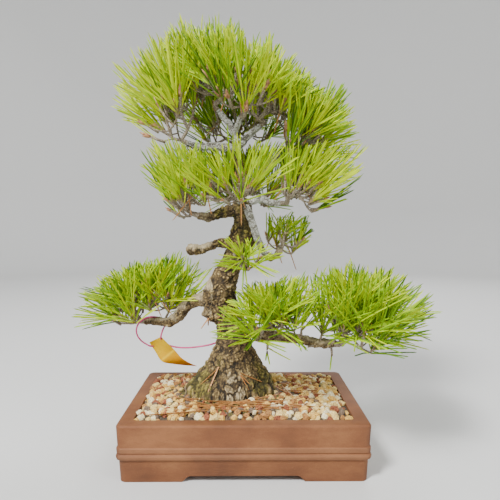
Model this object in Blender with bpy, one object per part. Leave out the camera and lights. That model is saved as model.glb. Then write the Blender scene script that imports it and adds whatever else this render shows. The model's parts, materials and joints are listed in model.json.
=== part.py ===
"""A Japanese black pine bonsai in an unglazed rectangular pot.

Metres, +Z up. The origin is on the ground under the middle of the pot, +X is to the viewer's right
and -Y faces the viewer.
"""

import math
import random

import bmesh
import bpy
from mathutils import Vector
from mathutils.geometry import intersect_line_line

GAP = 0.0003
UP = Vector((0.0, 0.0, 1.0))

# Pot
POT_LENGTH = 0.300
POT_DEPTH = 0.215
POT_HEIGHT = 0.0685
POT_CORNER = 0.008
RIM_WIDTH = 0.018
FLOOR_TOP = 0.014
FOOT_HEIGHT = 0.007
FRONT_CUT_HALF = 0.072
SIDE_CUT_HALF = 0.042
CUT_SLOPE = 0.007
CORNER_STEPS = 5
CORNER_SHRINK = 0.3
LEAST_CORNER = 0.003
RIM_BEVEL = 0.001
WALL_TAPER = 0.002
CUT_START = -0.001
# Outside of the pot from the ground up: height, and how far the face is set in from the rim's.
POT_OUTSIDE = (
    (0.0000, 0.0045),
    (0.0260, 0.0032),
    (0.0275, 0.0008),
    (0.0310, 0.0000),
    (0.0338, 0.0008),
    (0.0345, 0.0019),
    (0.0354, 0.0008),
    (0.0410, 0.0006),
    (0.0420, 0.0018),
    (0.0660, 0.0006),
    (POT_HEIGHT, 0.0020),
)

# Soil
SOIL_TOP = 0.0750
SOIL_AT_WALL = 0.0655
PAD_RADIUS = 0.0740
SOIL_RINGS = 4
SOIL_BUMPS = 0.001
SOIL_SEED = 5

# Trunk: height, x, y and radius of each section.
TRUNK_SIDES = 16
TRUNK_DEPTH = 0.88
FLARE_HEIGHT = 0.055
TRUNK = (
    (SOIL_TOP + GAP, -0.019, 0.000, 0.0600),
    (0.0840, -0.019, 0.000, 0.0580),
    (0.0930, -0.018, 0.000, 0.0530),
    (0.1060, -0.015, 0.001, 0.0420),
    (0.1200, -0.014, 0.002, 0.0325),
    (0.1340, -0.014, 0.003, 0.0262),
    (0.1480, -0.013, 0.004, 0.0232),
    (0.1640, -0.016, 0.004, 0.0218),
    (0.1780, -0.023, 0.003, 0.0205),
    (0.1900, -0.029, 0.002, 0.0195),
    (0.2020, -0.032, 0.001, 0.0205),
    (0.2130, -0.031, 0.000, 0.0205),
    (0.2250, -0.028, 0.000, 0.0190),
    (0.2360, -0.024, 0.000, 0.0170),
    (0.2470, -0.019, 0.000, 0.0160),
    (0.2580, -0.011, 0.000, 0.0165),
    (0.2690, -0.005, 0.000, 0.0185),
    (0.2800, -0.003, 0.000, 0.0185),
    (0.2920, -0.003, 0.000, 0.0160),
    (0.3040, -0.002, 0.000, 0.0115),
    (0.3160, -0.001, 0.000, 0.0118),
    (0.3290, -0.002, 0.000, 0.0118),
    (0.3400, -0.002, 0.000, 0.0085),
    (0.3550, -0.002, 0.000, 0.0064),
    (0.3720, -0.005, -0.001, 0.0062),
    (0.3920, -0.010, -0.003, 0.0054),
    (0.4110, -0.011, -0.005, 0.0050),
)
# Root buttresses: how many, how far each stands out as a share of the radius, and their turn.
BUTTRESSES = ((3, 0.07, 0.4), (5, 0.06, 2.0))
# Bark ridges up the trunk: how many, their share of the radius, and how fast they wind with height.
RIDGES = 4
RIDGE_DEPTH = 0.035
RIDGE_WIND = 55.0
# How much wider than the trunk its keep-out space is.
TRUNK_CLEARANCE = 1.12
# Burls and knobs on the trunk: height, bearing, how far out, half height, half width in radians.
BURLS = (
    (0.1800, math.radians(184), 0.0170, 0.0095, 0.45),
    (0.2100, math.radians(200), 0.0050, 0.0100, 0.60),
    (0.2700, math.radians(-60), 0.0035, 0.0090, 0.50),
    (0.3180, math.radians(170), 0.0040, 0.0080, 0.60),
    (0.1500, math.radians(-80), 0.0030, 0.0120, 0.50),
)

# Limbs: what each grows from, and its points from root to tip as x, y, z and radius.
LIMB_SIDES = 6
LIMB_STEPS = 2
LIMBS = {
    "low_left_bough": ("trunk", (
        (-0.040, 0.003, 0.206, 0.0085), (-0.058, 0.008, 0.199, 0.0080), (-0.078, 0.014, 0.190, 0.0068),
        (-0.092, 0.022, 0.173, 0.0070), (-0.108, 0.032, 0.163, 0.0056), (-0.126, 0.041, 0.162, 0.0050),
        (-0.143, 0.047, 0.161, 0.0044),
    )),
    "low_right_bough": ("trunk", (
        (-0.014, -0.006, 0.163, 0.0090), (0.010, -0.018, 0.159, 0.0080), (0.034, -0.027, 0.156, 0.0068),
        (0.062, -0.031, 0.154, 0.0058), (0.090, -0.034, 0.149, 0.0050), (0.116, -0.036, 0.147, 0.0044),
    )),
    "low_right_inner_bough": ("low_right_bough", (
        (0.019, -0.022, 0.158, 0.0040), (0.024, -0.030, 0.162, 0.0036), (0.033, -0.037, 0.166, 0.0032),
    )),
    "dead_stub": ("trunk", (
        (-0.008, 0.000, 0.274, 0.0060), (-0.030, -0.007, 0.276, 0.0052), (-0.052, -0.012, 0.270, 0.0048),
        (-0.064, -0.015, 0.268, 0.0060), (-0.071, -0.016, 0.268, 0.0066), (-0.075, -0.017, 0.268, 0.0035),
    )),
    "front_twig": ("trunk", (
        (-0.010, -0.004, 0.249, 0.0038), (0.001, -0.019, 0.247, 0.0030), (-0.001, -0.028, 0.248, 0.0026),
    )),
    "hanging_branch": ("trunk", (
        (0.001, -0.003, 0.326, 0.0048), (0.007, -0.014, 0.314, 0.0044), (0.011, -0.018, 0.302, 0.0042),
        (0.016, -0.018, 0.287, 0.0040), (0.023, -0.014, 0.270, 0.0038), (0.028, -0.007, 0.261, 0.0036),
    )),
    "small_right_bough": ("hanging_branch", (
        (0.0265, -0.009, 0.2630, 0.0026), (0.033, 0.003, 0.257, 0.0036), (0.042, 0.024, 0.256, 0.0034),
        (0.050, 0.042, 0.262, 0.0030),
    )),
    "crown_left_bough": ("trunk", (
        (-0.004, 0.000, 0.321, 0.0085), (-0.021, -0.004, 0.319, 0.0072), (-0.036, -0.009, 0.314, 0.0060),
        (-0.050, -0.013, 0.311, 0.0054), (-0.060, -0.015, 0.313, 0.0044),
    )),
    "crown_right_bough": ("trunk", (
        (-0.001, 0.000, 0.334, 0.0064), (0.013, -0.004, 0.333, 0.0052), (0.021, -0.007, 0.336, 0.0046),
        (0.034, -0.011, 0.330, 0.0040), (0.048, -0.013, 0.329, 0.0036),
    )),
    "crown_front_bough": ("trunk", (
        (-0.003, -0.001, 0.332, 0.0050), (-0.006, -0.016, 0.333, 0.0044), (-0.008, -0.028, 0.335, 0.0036),
    )),
    "crown_back_bough": ("trunk", (
        (-0.002, 0.001, 0.330, 0.0060), (0.003, 0.018, 0.333, 0.0052), (0.005, 0.036, 0.338, 0.0042),
    )),
    "right_rising_bough": ("trunk", (
        (-0.003, 0.000, 0.360, 0.0040), (0.011, 0.000, 0.371, 0.0042), (0.025, 0.001, 0.376, 0.0040),
        (0.041, 0.001, 0.391, 0.0036), (0.056, -0.001, 0.398, 0.0032),
    )),
    "upper_left_bough": ("trunk", (
        (-0.011, -0.004, 0.402, 0.0034), (-0.024, -0.008, 0.403, 0.0048), (-0.040, -0.011, 0.403, 0.0046),
        (-0.060, -0.014, 0.402, 0.0042), (-0.074, -0.015, 0.407, 0.0036),
    )),
    "upper_right_bough": ("trunk", (
        (-0.011, -0.004, 0.398, 0.0032), (0.000, -0.003, 0.412, 0.0040), (0.012, -0.002, 0.424, 0.0036),
        (0.022, -0.001, 0.432, 0.0032),
    )),
    "leader_top": ("trunk", (
        (-0.011, -0.005, 0.407, 0.0034), (-0.012, -0.005, 0.418, 0.0038), (-0.017, -0.005, 0.430, 0.0038),
        (-0.026, -0.004, 0.441, 0.0036), (-0.034, -0.004, 0.452, 0.0032),
    )),
    "upper_front_bough": ("leader_top", (
        (-0.013, -0.005, 0.421, 0.0024), (-0.009, -0.016, 0.428, 0.0030), (-0.004, -0.028, 0.438, 0.0028),
    )),
    "upper_back_bough": ("trunk", (
        (-0.008, -0.002, 0.386, 0.0036), (-0.010, 0.014, 0.396, 0.0040), (-0.011, 0.036, 0.410, 0.0036),
    )),
}

# Needle masses: the limb that carries each, the middle of its shoots, how far they spread from it,
# which way they face, how many there are, and their needles' length.
MASSES = {
    "low_left_needles": ("low_left_bough",
        (-0.146, 0.051, 0.180), (0.046, 0.038, 0.016), (-0.30, 0.00, 0.95), 14, 0.094),
    "low_right_inner_needles": ("low_right_inner_bough",
        (0.040, -0.042, 0.171), (0.038, 0.026, 0.012), (-0.15, -0.20, 0.97), 9, 0.080),
    "low_right_outer_needles": ("low_right_bough",
        (0.140, -0.036, 0.164), (0.050, 0.042, 0.015), (0.22, 0.00, 0.97), 14, 0.089),
    "small_back_needles": ("small_right_bough",
        (0.060, 0.078, 0.272), (0.024, 0.032, 0.012), (0.30, 0.50, 0.80), 8, 0.072),
    "front_needles": ("front_twig",
        (0.001, -0.043, 0.252), (0.018, 0.008, 0.006), (0.10, -0.70, 0.70), 4, 0.070),
    "crown_left_needles": ("crown_left_bough",
        (-0.069, -0.020, 0.331), (0.027, 0.032, 0.012), (-0.45, -0.10, 0.88), 9, 0.096),
    "crown_right_needles": ("crown_right_bough",
        (0.074, -0.012, 0.340), (0.026, 0.034, 0.012), (0.62, -0.10, 0.77), 9, 0.094),
    "crown_front_needles": ("crown_front_bough",
        (-0.006, -0.046, 0.340), (0.030, 0.014, 0.010), (0.00, -0.55, 0.83), 7, 0.088),
    "crown_back_needles": ("crown_back_bough",
        (0.004, 0.064, 0.346), (0.044, 0.020, 0.014), (0.00, 0.70, 0.70), 9, 0.090),
    "right_needles": ("right_rising_bough",
        (0.078, -0.004, 0.400), (0.024, 0.042, 0.028), (0.68, 0.00, 0.73), 10, 0.090),
    "upper_left_needles": ("upper_left_bough",
        (-0.084, -0.010, 0.446), (0.028, 0.040, 0.014), (-0.44, 0.00, 0.90), 9, 0.100),
    "upper_right_needles": ("upper_right_bough",
        (0.044, 0.002, 0.450), (0.034, 0.036, 0.014), (0.40, 0.00, 0.92), 9, 0.096),
    "top_needles": ("leader_top",
        (-0.050, 0.000, 0.484), (0.034, 0.034, 0.014), (-0.15, 0.00, 0.99), 10, 0.100),
    "upper_front_needles": ("upper_front_bough",
        (-0.004, -0.048, 0.456), (0.040, 0.014, 0.014), (0.00, -0.50, 0.86), 8, 0.092),
    "upper_back_needles": ("upper_back_bough",
        (-0.012, 0.060, 0.440), (0.050, 0.018, 0.022), (0.00, 0.70, 0.71), 10, 0.094),
}

# Limbs in grey, smoother bark, and masses in a cooler or a darker green.
GREY_LIMBS = {
    "hanging_branch", "crown_right_bough", "crown_front_bough", "crown_back_bough", "right_rising_bough",
    "upper_left_bough", "upper_right_bough", "leader_top", "upper_front_bough", "upper_back_bough",
}
COOL_MASSES = {"low_left_needles", "crown_back_needles", "upper_back_needles"}
DARK_MASSES = {"small_back_needles"}

# Twigs and sprays
UNION_SOLVER = "EXACT"
GOLDEN_ANGLE = math.pi * (3.0 - math.sqrt(5.0))
STEM_STUB = 0.008
STUB_TAPER = 0.8
TWIG_RADIUS = 0.0012
TWIG_SIDES = 3
TWIG_DROOP = 0.12
TWIG_TAPER = 0.45
FORK_TRIES = 4
FORK_RETREAT = 0.3
SHOOT_JITTER = 0.003
SHOOT_RADIUS = 0.0028
SHOOT_HALF_LENGTH = 0.0065
BUD_LENGTH = 0.013
CORE_TIP_LEVEL = 0.9
LOWEST_NEEDLE_FACE = -0.4
FAN_SQUEEZE = 0.60
FAN_JITTER = 0.10
SHORTEST_NEEDLE = 0.86
OUTWARD_LEAN = 0.75
UPWARD_LEAN = 0.15
FACE_REACH = 0.055
SPACE_MARGIN = 0.0022
LIMB_MARGIN = 0.0028
NEEDLE_GAP = 0.0019
NEEDLE_STEPS = (0.12, 0.4, 0.7, 1.0)
TWIG_STEPS = (0.4, 0.7, 1.0)
NEEDLE_SHARES = (1.0, 0.8, 0.6)

# Tag and its band. The tag: middle of each cross line, and half of that line.
TAG_THICKNESS = 0.0010
TAG = (
    ((-0.1275, 0.036, 0.1365), (0.0095, -0.0060, 0.0055)),
    ((-0.1175, 0.032, 0.1255), (0.0095, -0.0040, 0.0070)),
    ((-0.1075, 0.029, 0.1145), (0.0095, -0.0015, 0.0082)),
    ((-0.0950, 0.027, 0.1080), (0.0070, -0.0080, 0.0065)),
    ((-0.0800, 0.026, 0.1035), (0.0040, -0.0108, 0.0045)),
    ((-0.0690, 0.026, 0.1010), (0.0030, -0.0115, 0.0030)),
)
BAND_RADIUS = 0.00115
BAND_SIDES = 5
BAND_STEPS = 2
BAND_CLEARANCE = 0.0004
BAND = (
    (-0.1290, 0.0410, 0.1255), (-0.1345, 0.0330, 0.1280), (-0.1400, 0.0340, 0.1305),
    (-0.1470, 0.0360, 0.1345), (-0.1525, 0.0370, 0.1410), (-0.1545, 0.0370, 0.1495),
    (-0.1520, 0.0370, 0.1580), (-0.1455, 0.0380, 0.1650), (-0.1370, 0.0420, 0.1678),
    (-0.1285, 0.0450, 0.1674), (-0.1215, 0.0465, 0.1655), (-0.1165, 0.0465, 0.1610),
    (-0.1150, 0.0430, 0.1550), (-0.1165, 0.0340, 0.1500), (-0.1180, 0.0280, 0.1420),
    (-0.1175, 0.0330, 0.1360), (-0.1120, 0.0360, 0.1300), (-0.1000, 0.0340, 0.1265),
    (-0.0820, 0.0260, 0.1270), (-0.0620, 0.0210, 0.1300), (-0.0480, 0.0190, 0.1330),
    (-0.0370, 0.0250, 0.1350), (-0.0200, 0.0310, 0.1360), (-0.0020, 0.0290, 0.1370),
)


def coat(name, colour, roughness):
    """A plain finish of one colour."""
    material = bpy.data.materials.new(name)
    material.use_nodes = True
    shader = material.node_tree.nodes["Principled BSDF"]
    shader.inputs["Base Color"].default_value = (*colour, 1.0)
    shader.inputs["Roughness"].default_value = roughness
    shader.inputs["Metallic"].default_value = 0.0
    return material


def add_object(name, bm, material, smooth_angle=0.6):
    """A scene object from a bmesh, shaded smooth except at its sharp edges."""
    bmesh.ops.recalc_face_normals(bm, faces=bm.faces)
    mesh = bpy.data.meshes.new(name)
    bm.to_mesh(mesh)
    bm.free()
    mesh.shade_smooth()
    mesh.set_sharp_from_angle(angle=smooth_angle)
    mesh.materials.append(material)
    thing = bpy.data.objects.new(name, mesh)
    bpy.context.scene.collection.objects.link(thing)
    return thing


def loft(rings, split=False):
    """A closed mesh through the rings, capped flat at both ends. `split` makes its sides triangles."""
    bm = bmesh.new()
    loops = [[bm.verts.new(point) for point in ring] for ring in rings]
    for lower, upper in zip(loops, loops[1:]):
        for i in range(len(lower)):
            j = (i + 1) % len(lower)
            bm.faces.new((lower[i], lower[j], upper[j], upper[i]))
    if split:
        bmesh.ops.triangulate(bm, faces=bm.faces, quad_method="FIXED")
    bm.faces.new(loops[0][::-1])
    bm.faces.new(loops[-1])
    return bm


def rounded_rectangle(half_x, half_y, radius, height):
    """A ring of points at one height, with round corners."""
    ring = []
    for quarter, (side_x, side_y) in enumerate(((1, 1), (-1, 1), (-1, -1), (1, -1))):
        for step in range(CORNER_STEPS + 1):
            angle = (quarter + step / CORNER_STEPS) * math.pi / 2
            x = side_x * (half_x - radius) + radius * math.cos(angle)
            y = side_y * (half_y - radius) + radius * math.sin(angle)
            ring.append(Vector((x, y, height)))
    return ring


def pot_ring(height, inset):
    """One level of the pot, set in from the rim's outer face."""
    corner = max(POT_CORNER - inset * CORNER_SHRINK, LEAST_CORNER)
    return rounded_rectangle(POT_LENGTH / 2 - inset, POT_DEPTH / 2 - inset, corner, height)


def foot_cut(name, half_width, along_y):
    """A cutter with sloped ends that lifts the pot's underside between its feet."""
    top = half_width - CUT_SLOPE
    outline = ((-half_width, CUT_START), (half_width, CUT_START), (top, FOOT_HEIGHT), (-top, FOOT_HEIGHT))
    rings = []
    for end in (-POT_LENGTH, POT_LENGTH):
        if along_y:
            rings.append([Vector((across, end, height)) for across, height in outline])
        else:
            rings.append([Vector((end, across, height)) for across, height in outline])
    return as_cutter(add_object(name, loft(rings), FINISHES["clay"]))


def as_cutter(thing):
    """Hides a helper from the model."""
    thing.hide_render = True
    thing.display_type = "WIRE"
    return thing


def cut(thing, cutter):
    """Takes the cutter's shape out of a piece."""
    boolean = thing.modifiers.new(cutter.name, "BOOLEAN")
    boolean.operation = "DIFFERENCE"
    boolean.object = cutter


def build_pot():
    """The rectangular tray: a belt of two ridges outside, a flat rim, and four corner feet."""
    rings = [pot_ring(height, inset) for height, inset in POT_OUTSIDE]
    rings.append(pot_ring(POT_HEIGHT, RIM_WIDTH - RIM_BEVEL))
    rings.append(pot_ring(POT_HEIGHT - RIM_BEVEL, RIM_WIDTH))
    rings.append(pot_ring(FLOOR_TOP, RIM_WIDTH + WALL_TAPER))
    pot = add_object("pot", loft(rings), FINISHES["clay"])
    cut(pot, foot_cut("front_cut", FRONT_CUT_HALF, True))
    cut(pot, foot_cut("side_cut", SIDE_CUT_HALF, False))


def build_soil():
    """Gravel and soil filling the pot, mounded up to a flat pad under the trunk."""
    rng = random.Random(SOIL_SEED)
    floor = pot_ring(FLOOR_TOP + GAP, RIM_WIDTH + WALL_TAPER + GAP)
    wall = pot_ring(SOIL_AT_WALL, RIM_WIDTH + 2 * GAP)
    centre = Vector((TRUNK[0][1], TRUNK[0][2], 0.0))
    pad = []
    for point in wall:
        bearing = (point - centre).to_2d().normalized()
        pad.append(Vector((centre.x + bearing.x * PAD_RADIUS, centre.y + bearing.y * PAD_RADIUS, SOIL_TOP)))
    rings = [floor, wall]
    for step in range(1, SOIL_RINGS):
        share = step / SOIL_RINGS
        rise = math.sin(share * math.pi / 2)
        ring = []
        for outer, inner in zip(wall, pad):
            point = outer.lerp(inner, share)
            point.z = SOIL_AT_WALL + (SOIL_TOP - SOIL_AT_WALL) * rise + rng.uniform(-SOIL_BUMPS, SOIL_BUMPS)
            ring.append(point)
        rings.append(ring)
    rings.append(pad)
    add_object("soil", loft(rings), FINISHES["gravel"])


def burl_at(height, bearing):
    """How far the trunk's burls and knobs stand out at one place."""
    out = 0.0
    for middle, side, size, half_height, half_width in BURLS:
        turn = math.remainder(bearing - side, 2 * math.pi)
        out += size * math.exp(-((height - middle) / half_height) ** 2 - (turn / half_width) ** 2)
    return out


def trunk_ring(height, x, y, radius, grown):
    """One section of the trunk, drawn out into root buttresses towards the soil."""
    flare = max(0.0, 1.0 - (height - SOIL_TOP) / FLARE_HEIGHT)
    ring = []
    for i in range(TRUNK_SIDES):
        bearing = 2 * math.pi * i / TRUNK_SIDES
        roots = flare * sum(share * math.cos(lobes * bearing + turn) for lobes, share, turn in BUTTRESSES)
        ridges = RIDGE_DEPTH * math.cos(RIDGES * bearing + height * RIDGE_WIND)
        out = radius * (1.0 + roots + ridges) + burl_at(height, bearing) + grown
        ring.append(Vector((x + out * math.cos(bearing), y + TRUNK_DEPTH * out * math.sin(bearing), height)))
    return ring


def trunk_loft(grown):
    """The trunk from its flat cut on the soil to its tip, or a copy of it that is fatter by `grown`."""
    rings = [trunk_ring(height, x, y, radius, grown) for height, x, y, radius in TRUNK]
    if grown:
        for point in rings[0]:
            point.z -= grown
        for point in rings[-1]:
            point.z += grown
    return loft(rings, split=True)


def smooth_path(points, steps):
    """A smooth curve through rows of numbers, with `steps` rows for each stretch (Catmull-Rom)."""
    rows = [points[0], *points, points[-1]]
    found = []
    for stretch in zip(rows, rows[1:], rows[2:], rows[3:]):
        for step in range(steps):
            t = step / steps
            found.append(tuple(
                b + 0.5 * t * (c - a + t * (2 * a - 5 * b + 4 * c - d + t * (3 * (b - c) + d - a)))
                for a, b, c, d in zip(*stretch)
            ))
    found.append(tuple(points[-1]))
    return found


def tube(path, sides, grown=0.0, split=False):
    """A closed tube along rows of x, y, z and radius, without twist, or a fatter and longer copy of it."""
    centres = [Vector(row[:3]) for row in path]
    ends = [centres[0], *centres, centres[-1]]
    tangents = [(after - before).normalized() for before, after in zip(ends, ends[2:])]
    side = tangents[0].orthogonal().normalized()
    rings = []
    for row, centre, tangent in zip(path, centres, tangents):
        side = (side - tangent * side.dot(tangent)).normalized()
        other = tangent.cross(side)
        ring = []
        for i in range(sides):
            angle = 2 * math.pi * i / sides
            ring.append(centre + (side * math.cos(angle) + other * math.sin(angle)) * (row[3] + grown))
        rings.append(ring)
    rings[0] = [point - tangents[0] * grown for point in rings[0]]
    rings[-1] = [point + tangents[-1] * grown for point in rings[-1]]
    return loft(rings, split)


def build_trunk_and_limbs():
    """The trunk, and each limb cut clear of what it grows from."""
    bark, grey_bark = FINISHES["bark"], FINISHES["grey_bark"]
    add_object("trunk", trunk_loft(0.0), bark)
    forked = {parent for parent, _ in LIMBS.values()}
    cutters = {"trunk": as_cutter(add_object("trunk_clearance", trunk_loft(GAP), bark))}
    for name, (parent, _) in LIMBS.items():
        if parent not in cutters:
            fatter = tube(PATHS[parent], LIMB_SIDES, GAP, split=True)
            cutters[parent] = as_cutter(add_object(parent + "_clearance", fatter, bark))
        finish = grey_bark if name in GREY_LIMBS else bark
        limb = add_object(name, tube(PATHS[name], LIMB_SIDES, split=name in forked), finish)
        cut(limb, cutters[parent])


def outside(point, path):
    """How far a point lies outside a tube along rows of x, y, z and radius."""
    nearest = math.inf
    for start, end in zip(path, path[1:]):
        low, high = Vector(start[:3]), Vector(end[:3])
        stretch = high - low
        share = min(max((point - low).dot(stretch) / stretch.length_squared, 0.0), 1.0)
        radius = start[3] + (end[3] - start[3]) * share
        nearest = min(nearest, (point - low - stretch * share).length - radius)
    return nearest


def in_own_space(point, name):
    """Whether a point is nearer to this mass's spine than to any other's, and clear of every limb."""
    own = outside(point, SPINES[name]) + 2 * SPACE_MARGIN
    if any(outside(point, spine) < own for other, spine in SPINES.items() if other != name):
        return False
    return all(outside(point, path) > LIMB_MARGIN for path in PATHS.values())


def run_is_free(name, start, end, steps=NEEDLE_STEPS):
    """Whether a straight run keeps to the mass's own space, clear of the limbs."""
    return all(in_own_space(start.lerp(end, share), name) for share in steps)


def point_gap(point, start, end):
    """The distance from a point to a straight run."""
    stretch = end - start
    share = min(max((point - start).dot(stretch) / stretch.length_squared, 0.0), 1.0)
    return (point - start - stretch * share).length


def run_gap(start, end, other_start, other_end):
    """The least distance between two straight runs."""
    nearest = intersect_line_line(start, end, other_start, other_end)
    if nearest:
        run, other = end - start, other_end - other_start
        here = (nearest[0] - start).dot(run) / run.length_squared
        there = (nearest[1] - other_start).dot(other) / other.length_squared
        if 0.0 < here < 1.0 and 0.0 < there < 1.0:
            return (nearest[0] - nearest[1]).length
    return min(
        point_gap(start, other_start, other_end), point_gap(end, other_start, other_end),
        point_gap(other_start, start, end), point_gap(other_end, start, end),
    )


def shoot_places(name, rng):
    """Where a mass's shoots end and which way they point, spread evenly over a low dome."""
    _, heart, spread, face, count, _ = MASSES[name]
    face = Vector(face).normalized()
    across = (Vector((1.0, 0.0, 0.0)) - face * face.x).normalized()
    along = face.cross(across)
    turn = rng.uniform(0.0, 2 * math.pi)
    places = []
    for i in range(count):
        ring = math.sqrt((i + 0.5) / count)
        bearing = turn + i * GOLDEN_ANGLE
        outward = across * math.cos(bearing) + along * math.sin(bearing)
        offset = across * (spread[0] * math.cos(bearing)) + along * (spread[1] * math.sin(bearing))
        base = Vector(heart) + offset * ring + face * spread[2] * (1.0 - 2.0 * ring * ring)
        base += Vector([rng.uniform(-SHOOT_JITTER, SHOOT_JITTER) for _ in range(3)])
        aim = face + outward * OUTWARD_LEAN * ring + UP * UPWARD_LEAN
        places.append((base, aim.normalized()))
    return places


def grow_twigs(name, start, heading, places):
    """Joins each shoot to the nearest twig already grown, nearest shoots first.

    Returns the twigs' points, the point that each grows from, and the shoots that found a free way.
    """
    points = [start, start + heading * STEM_STUB]
    parents = [None, 0]
    forks = [1]
    kept = []
    for base, aim in sorted(places, key=lambda place: (place[0] - points[1]).length):
        order = sorted(
            forks, key=lambda i: (points[i] - base).length + FORK_RETREAT * (points[i] - start).length
        )
        for fork in order[:FORK_TRIES]:
            reach = base - points[fork]
            knee = points[fork] + reach * 0.5 - UP * (reach.length * TWIG_DROOP)
            if run_is_free(name, points[fork], knee, TWIG_STEPS) and run_is_free(name, knee, base):
                points += [knee, base]
                parents += [fork, len(points) - 2]
                forks.append(len(points) - 2)
                kept.append((base, aim, len(points) - 1))
                break
    return points, parents, kept


def twig_radii(points, parents, kept, widest):
    """Radius at each point, from how many shoots it carries."""
    carried = [0] * len(points)
    for _, _, tip in kept:
        at = tip
        while at is not None:
            carried[at] += 1
            at = parents[at]
    return [min(TWIG_RADIUS * max(count, 1) ** TWIG_TAPER, widest) for count in carried]


def spray(name, shoot, base, aim, length, taken, rng):
    """A shoot's slim core with needles drawn out of its own faces, clear of those in `taken`."""
    bm = bmesh.new()
    turn = aim.to_track_quat("Z", "Y").to_matrix().to_4x4()
    turn.translation = base
    bmesh.ops.create_icosphere(bm, subdivisions=1, radius=1.0)
    twist = rng.uniform(0.0, 2 * math.pi)
    needles = []
    for face in bm.faces:
        way = face.calc_center_median().normalized()
        if way.z > LOWEST_NEEDLE_FACE:
            polar = math.acos(way.z) * FAN_SQUEEZE + rng.uniform(-FAN_JITTER, FAN_JITTER)
            bearing = math.atan2(way.y, way.x) + twist
            flat = math.sin(polar)
            needle = Vector((flat * math.cos(bearing), flat * math.sin(bearing), math.cos(polar)))
            needles.append((face, needle * length * rng.uniform(SHORTEST_NEEDLE, 1.0)))
    for vert in bm.verts:
        x = vert.co.x * math.cos(twist) - vert.co.y * math.sin(twist)
        y = vert.co.x * math.sin(twist) + vert.co.y * math.cos(twist)
        z = BUD_LENGTH if vert.co.z > CORE_TIP_LEVEL else vert.co.z * SHOOT_HALF_LENGTH
        vert.co = turn @ Vector((x * SHOOT_RADIUS, y * SHOOT_RADIUS, z))
    for face, needle in needles:
        for share in NEEDLE_SHARES:
            tip = turn @ (needle * share)
            others = ((low, high) for low, high, owner in taken if owner != shoot)
            apart = all(run_gap(base, tip, low, high) > NEEDLE_GAP for low, high in others)
            if apart and run_is_free(name, base, tip):
                bmesh.ops.poke(bm, faces=[face])["verts"][0].co = tip
                taken.append((base, tip, shoot))
                break
    return bm


def fuse(stem, pieces):
    """Joins the pieces to the stem with one Boolean union, then removes them."""
    group = bpy.data.collections.new(stem.name + "_pieces")
    bpy.context.scene.collection.children.link(group)
    for piece in pieces:
        bpy.context.scene.collection.objects.unlink(piece)
        group.objects.link(piece)
    union = stem.modifiers.new("union", "BOOLEAN")
    union.operation = "UNION"
    union.operand_type = "COLLECTION"
    union.collection = group
    union.solver = UNION_SOLVER
    bpy.context.view_layer.objects.active = stem
    bpy.ops.object.modifier_apply(modifier=union.name)
    for piece in pieces:
        bpy.data.objects.remove(piece)
    bpy.data.collections.remove(group)
    keep_largest_body(stem)


def keep_largest_body(thing):
    """Drops any loose scrap that a union left beside the main body."""
    bm = bmesh.new()
    bm.from_mesh(thing.data)
    left = set(bm.verts)
    bodies = []
    while left:
        seed = left.pop()
        body = {seed}
        front = [seed]
        while front:
            vert = front.pop()
            fresh = {edge.other_vert(vert) for edge in vert.link_edges} - body
            body |= fresh
            front.extend(fresh)
        left -= body
        bodies.append(body)
    bodies.sort(key=len)
    for body in bodies[:-1]:
        bmesh.ops.delete(bm, geom=list(body), context="VERTS")
    bm.to_mesh(thing.data)
    bm.free()


def build_mass(name, seed):
    """One mass of needles: a stem past its bough's tip, twigs, and a spray on each shoot."""
    rng = random.Random(seed)
    limb, _, _, _, _, length = MASSES[name]
    end, before = Vector(PATHS[limb][-1][:3]), Vector(PATHS[limb][-2][:3])
    heading = (end - before).normalized()
    start = end + heading * GAP
    widest = PATHS[limb][-1][3]
    places = shoot_places(name, rng)
    points, parents, kept = grow_twigs(name, start, heading, places)
    radii = twig_radii(points, parents, kept, widest)
    finish = FINISHES["dark" if name in DARK_MASSES else "cool" if name in COOL_MASSES else "bright"]
    stub = [(*start, widest), (*points[1], max(radii[1], widest * STUB_TAPER))]
    stem = add_object(name, tube(stub, LIMB_SIDES), finish)
    taken = [(points[parent], point, i) for i, (point, parent) in enumerate(zip(points, parents)) if i]
    pieces = []
    for base, aim, tip in kept:
        knee = parents[tip]
        fork = parents[knee]
        twig = [(*points[fork], radii[knee]), (*points[knee], radii[knee]), (*points[tip], radii[tip])]
        pieces.append(add_object("twig", tube(twig, TWIG_SIDES), finish))
        pieces.append(add_object("spray", spray(name, tip, base, aim, length, taken, rng), finish))
    fuse(stem, pieces)


def build_tag():
    """The blank hang tag on its band: a creased strip that curls away from the viewer."""
    middles = [Vector(middle) for middle, _ in TAG]
    middles.append(2 * middles[-1] - middles[-2])
    rows = []
    for (_, half), middle, following in zip(TAG, middles, middles[1:]):
        half = Vector(half)
        face = (following - middle).cross(half).normalized() * TAG_THICKNESS / 2
        rows.append((middle - half - face, middle + half - face, middle + half + face, middle - half + face))
    tag = add_object("tag", loft(rows), FINISHES["tag"])
    cutter = add_object("band_clearance", tube(BAND_PATH, BAND_SIDES, BAND_CLEARANCE), FINISHES["band"])
    cut(tag, as_cutter(cutter))
    add_object("tag_band", tube(BAND_PATH, BAND_SIDES), FINISHES["band"])


def clear_scene():
    """Takes out whatever the file opened with."""
    for thing in list(bpy.data.objects):
        bpy.data.objects.remove(thing, do_unlink=True)


PATHS = {name: smooth_path(points, LIMB_STEPS) for name, (_, points) in LIMBS.items()}
PATHS["trunk"] = [(x, y, height, radius * TRUNK_CLEARANCE) for height, x, y, radius in TRUNK]
BAND_PATH = [(*row, BAND_RADIUS) for row in smooth_path(BAND, BAND_STEPS)]
PATHS["tag_band"] = BAND_PATH
SPINES = {}
for mass, (limb, heart, _, face, _, _) in MASSES.items():
    reach = Vector(heart) + Vector(face).normalized() * FACE_REACH
    SPINES[mass] = [(*PATHS[limb][-1][:3], 0.0), (*heart, 0.0), (*reach, 0.0)]

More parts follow.
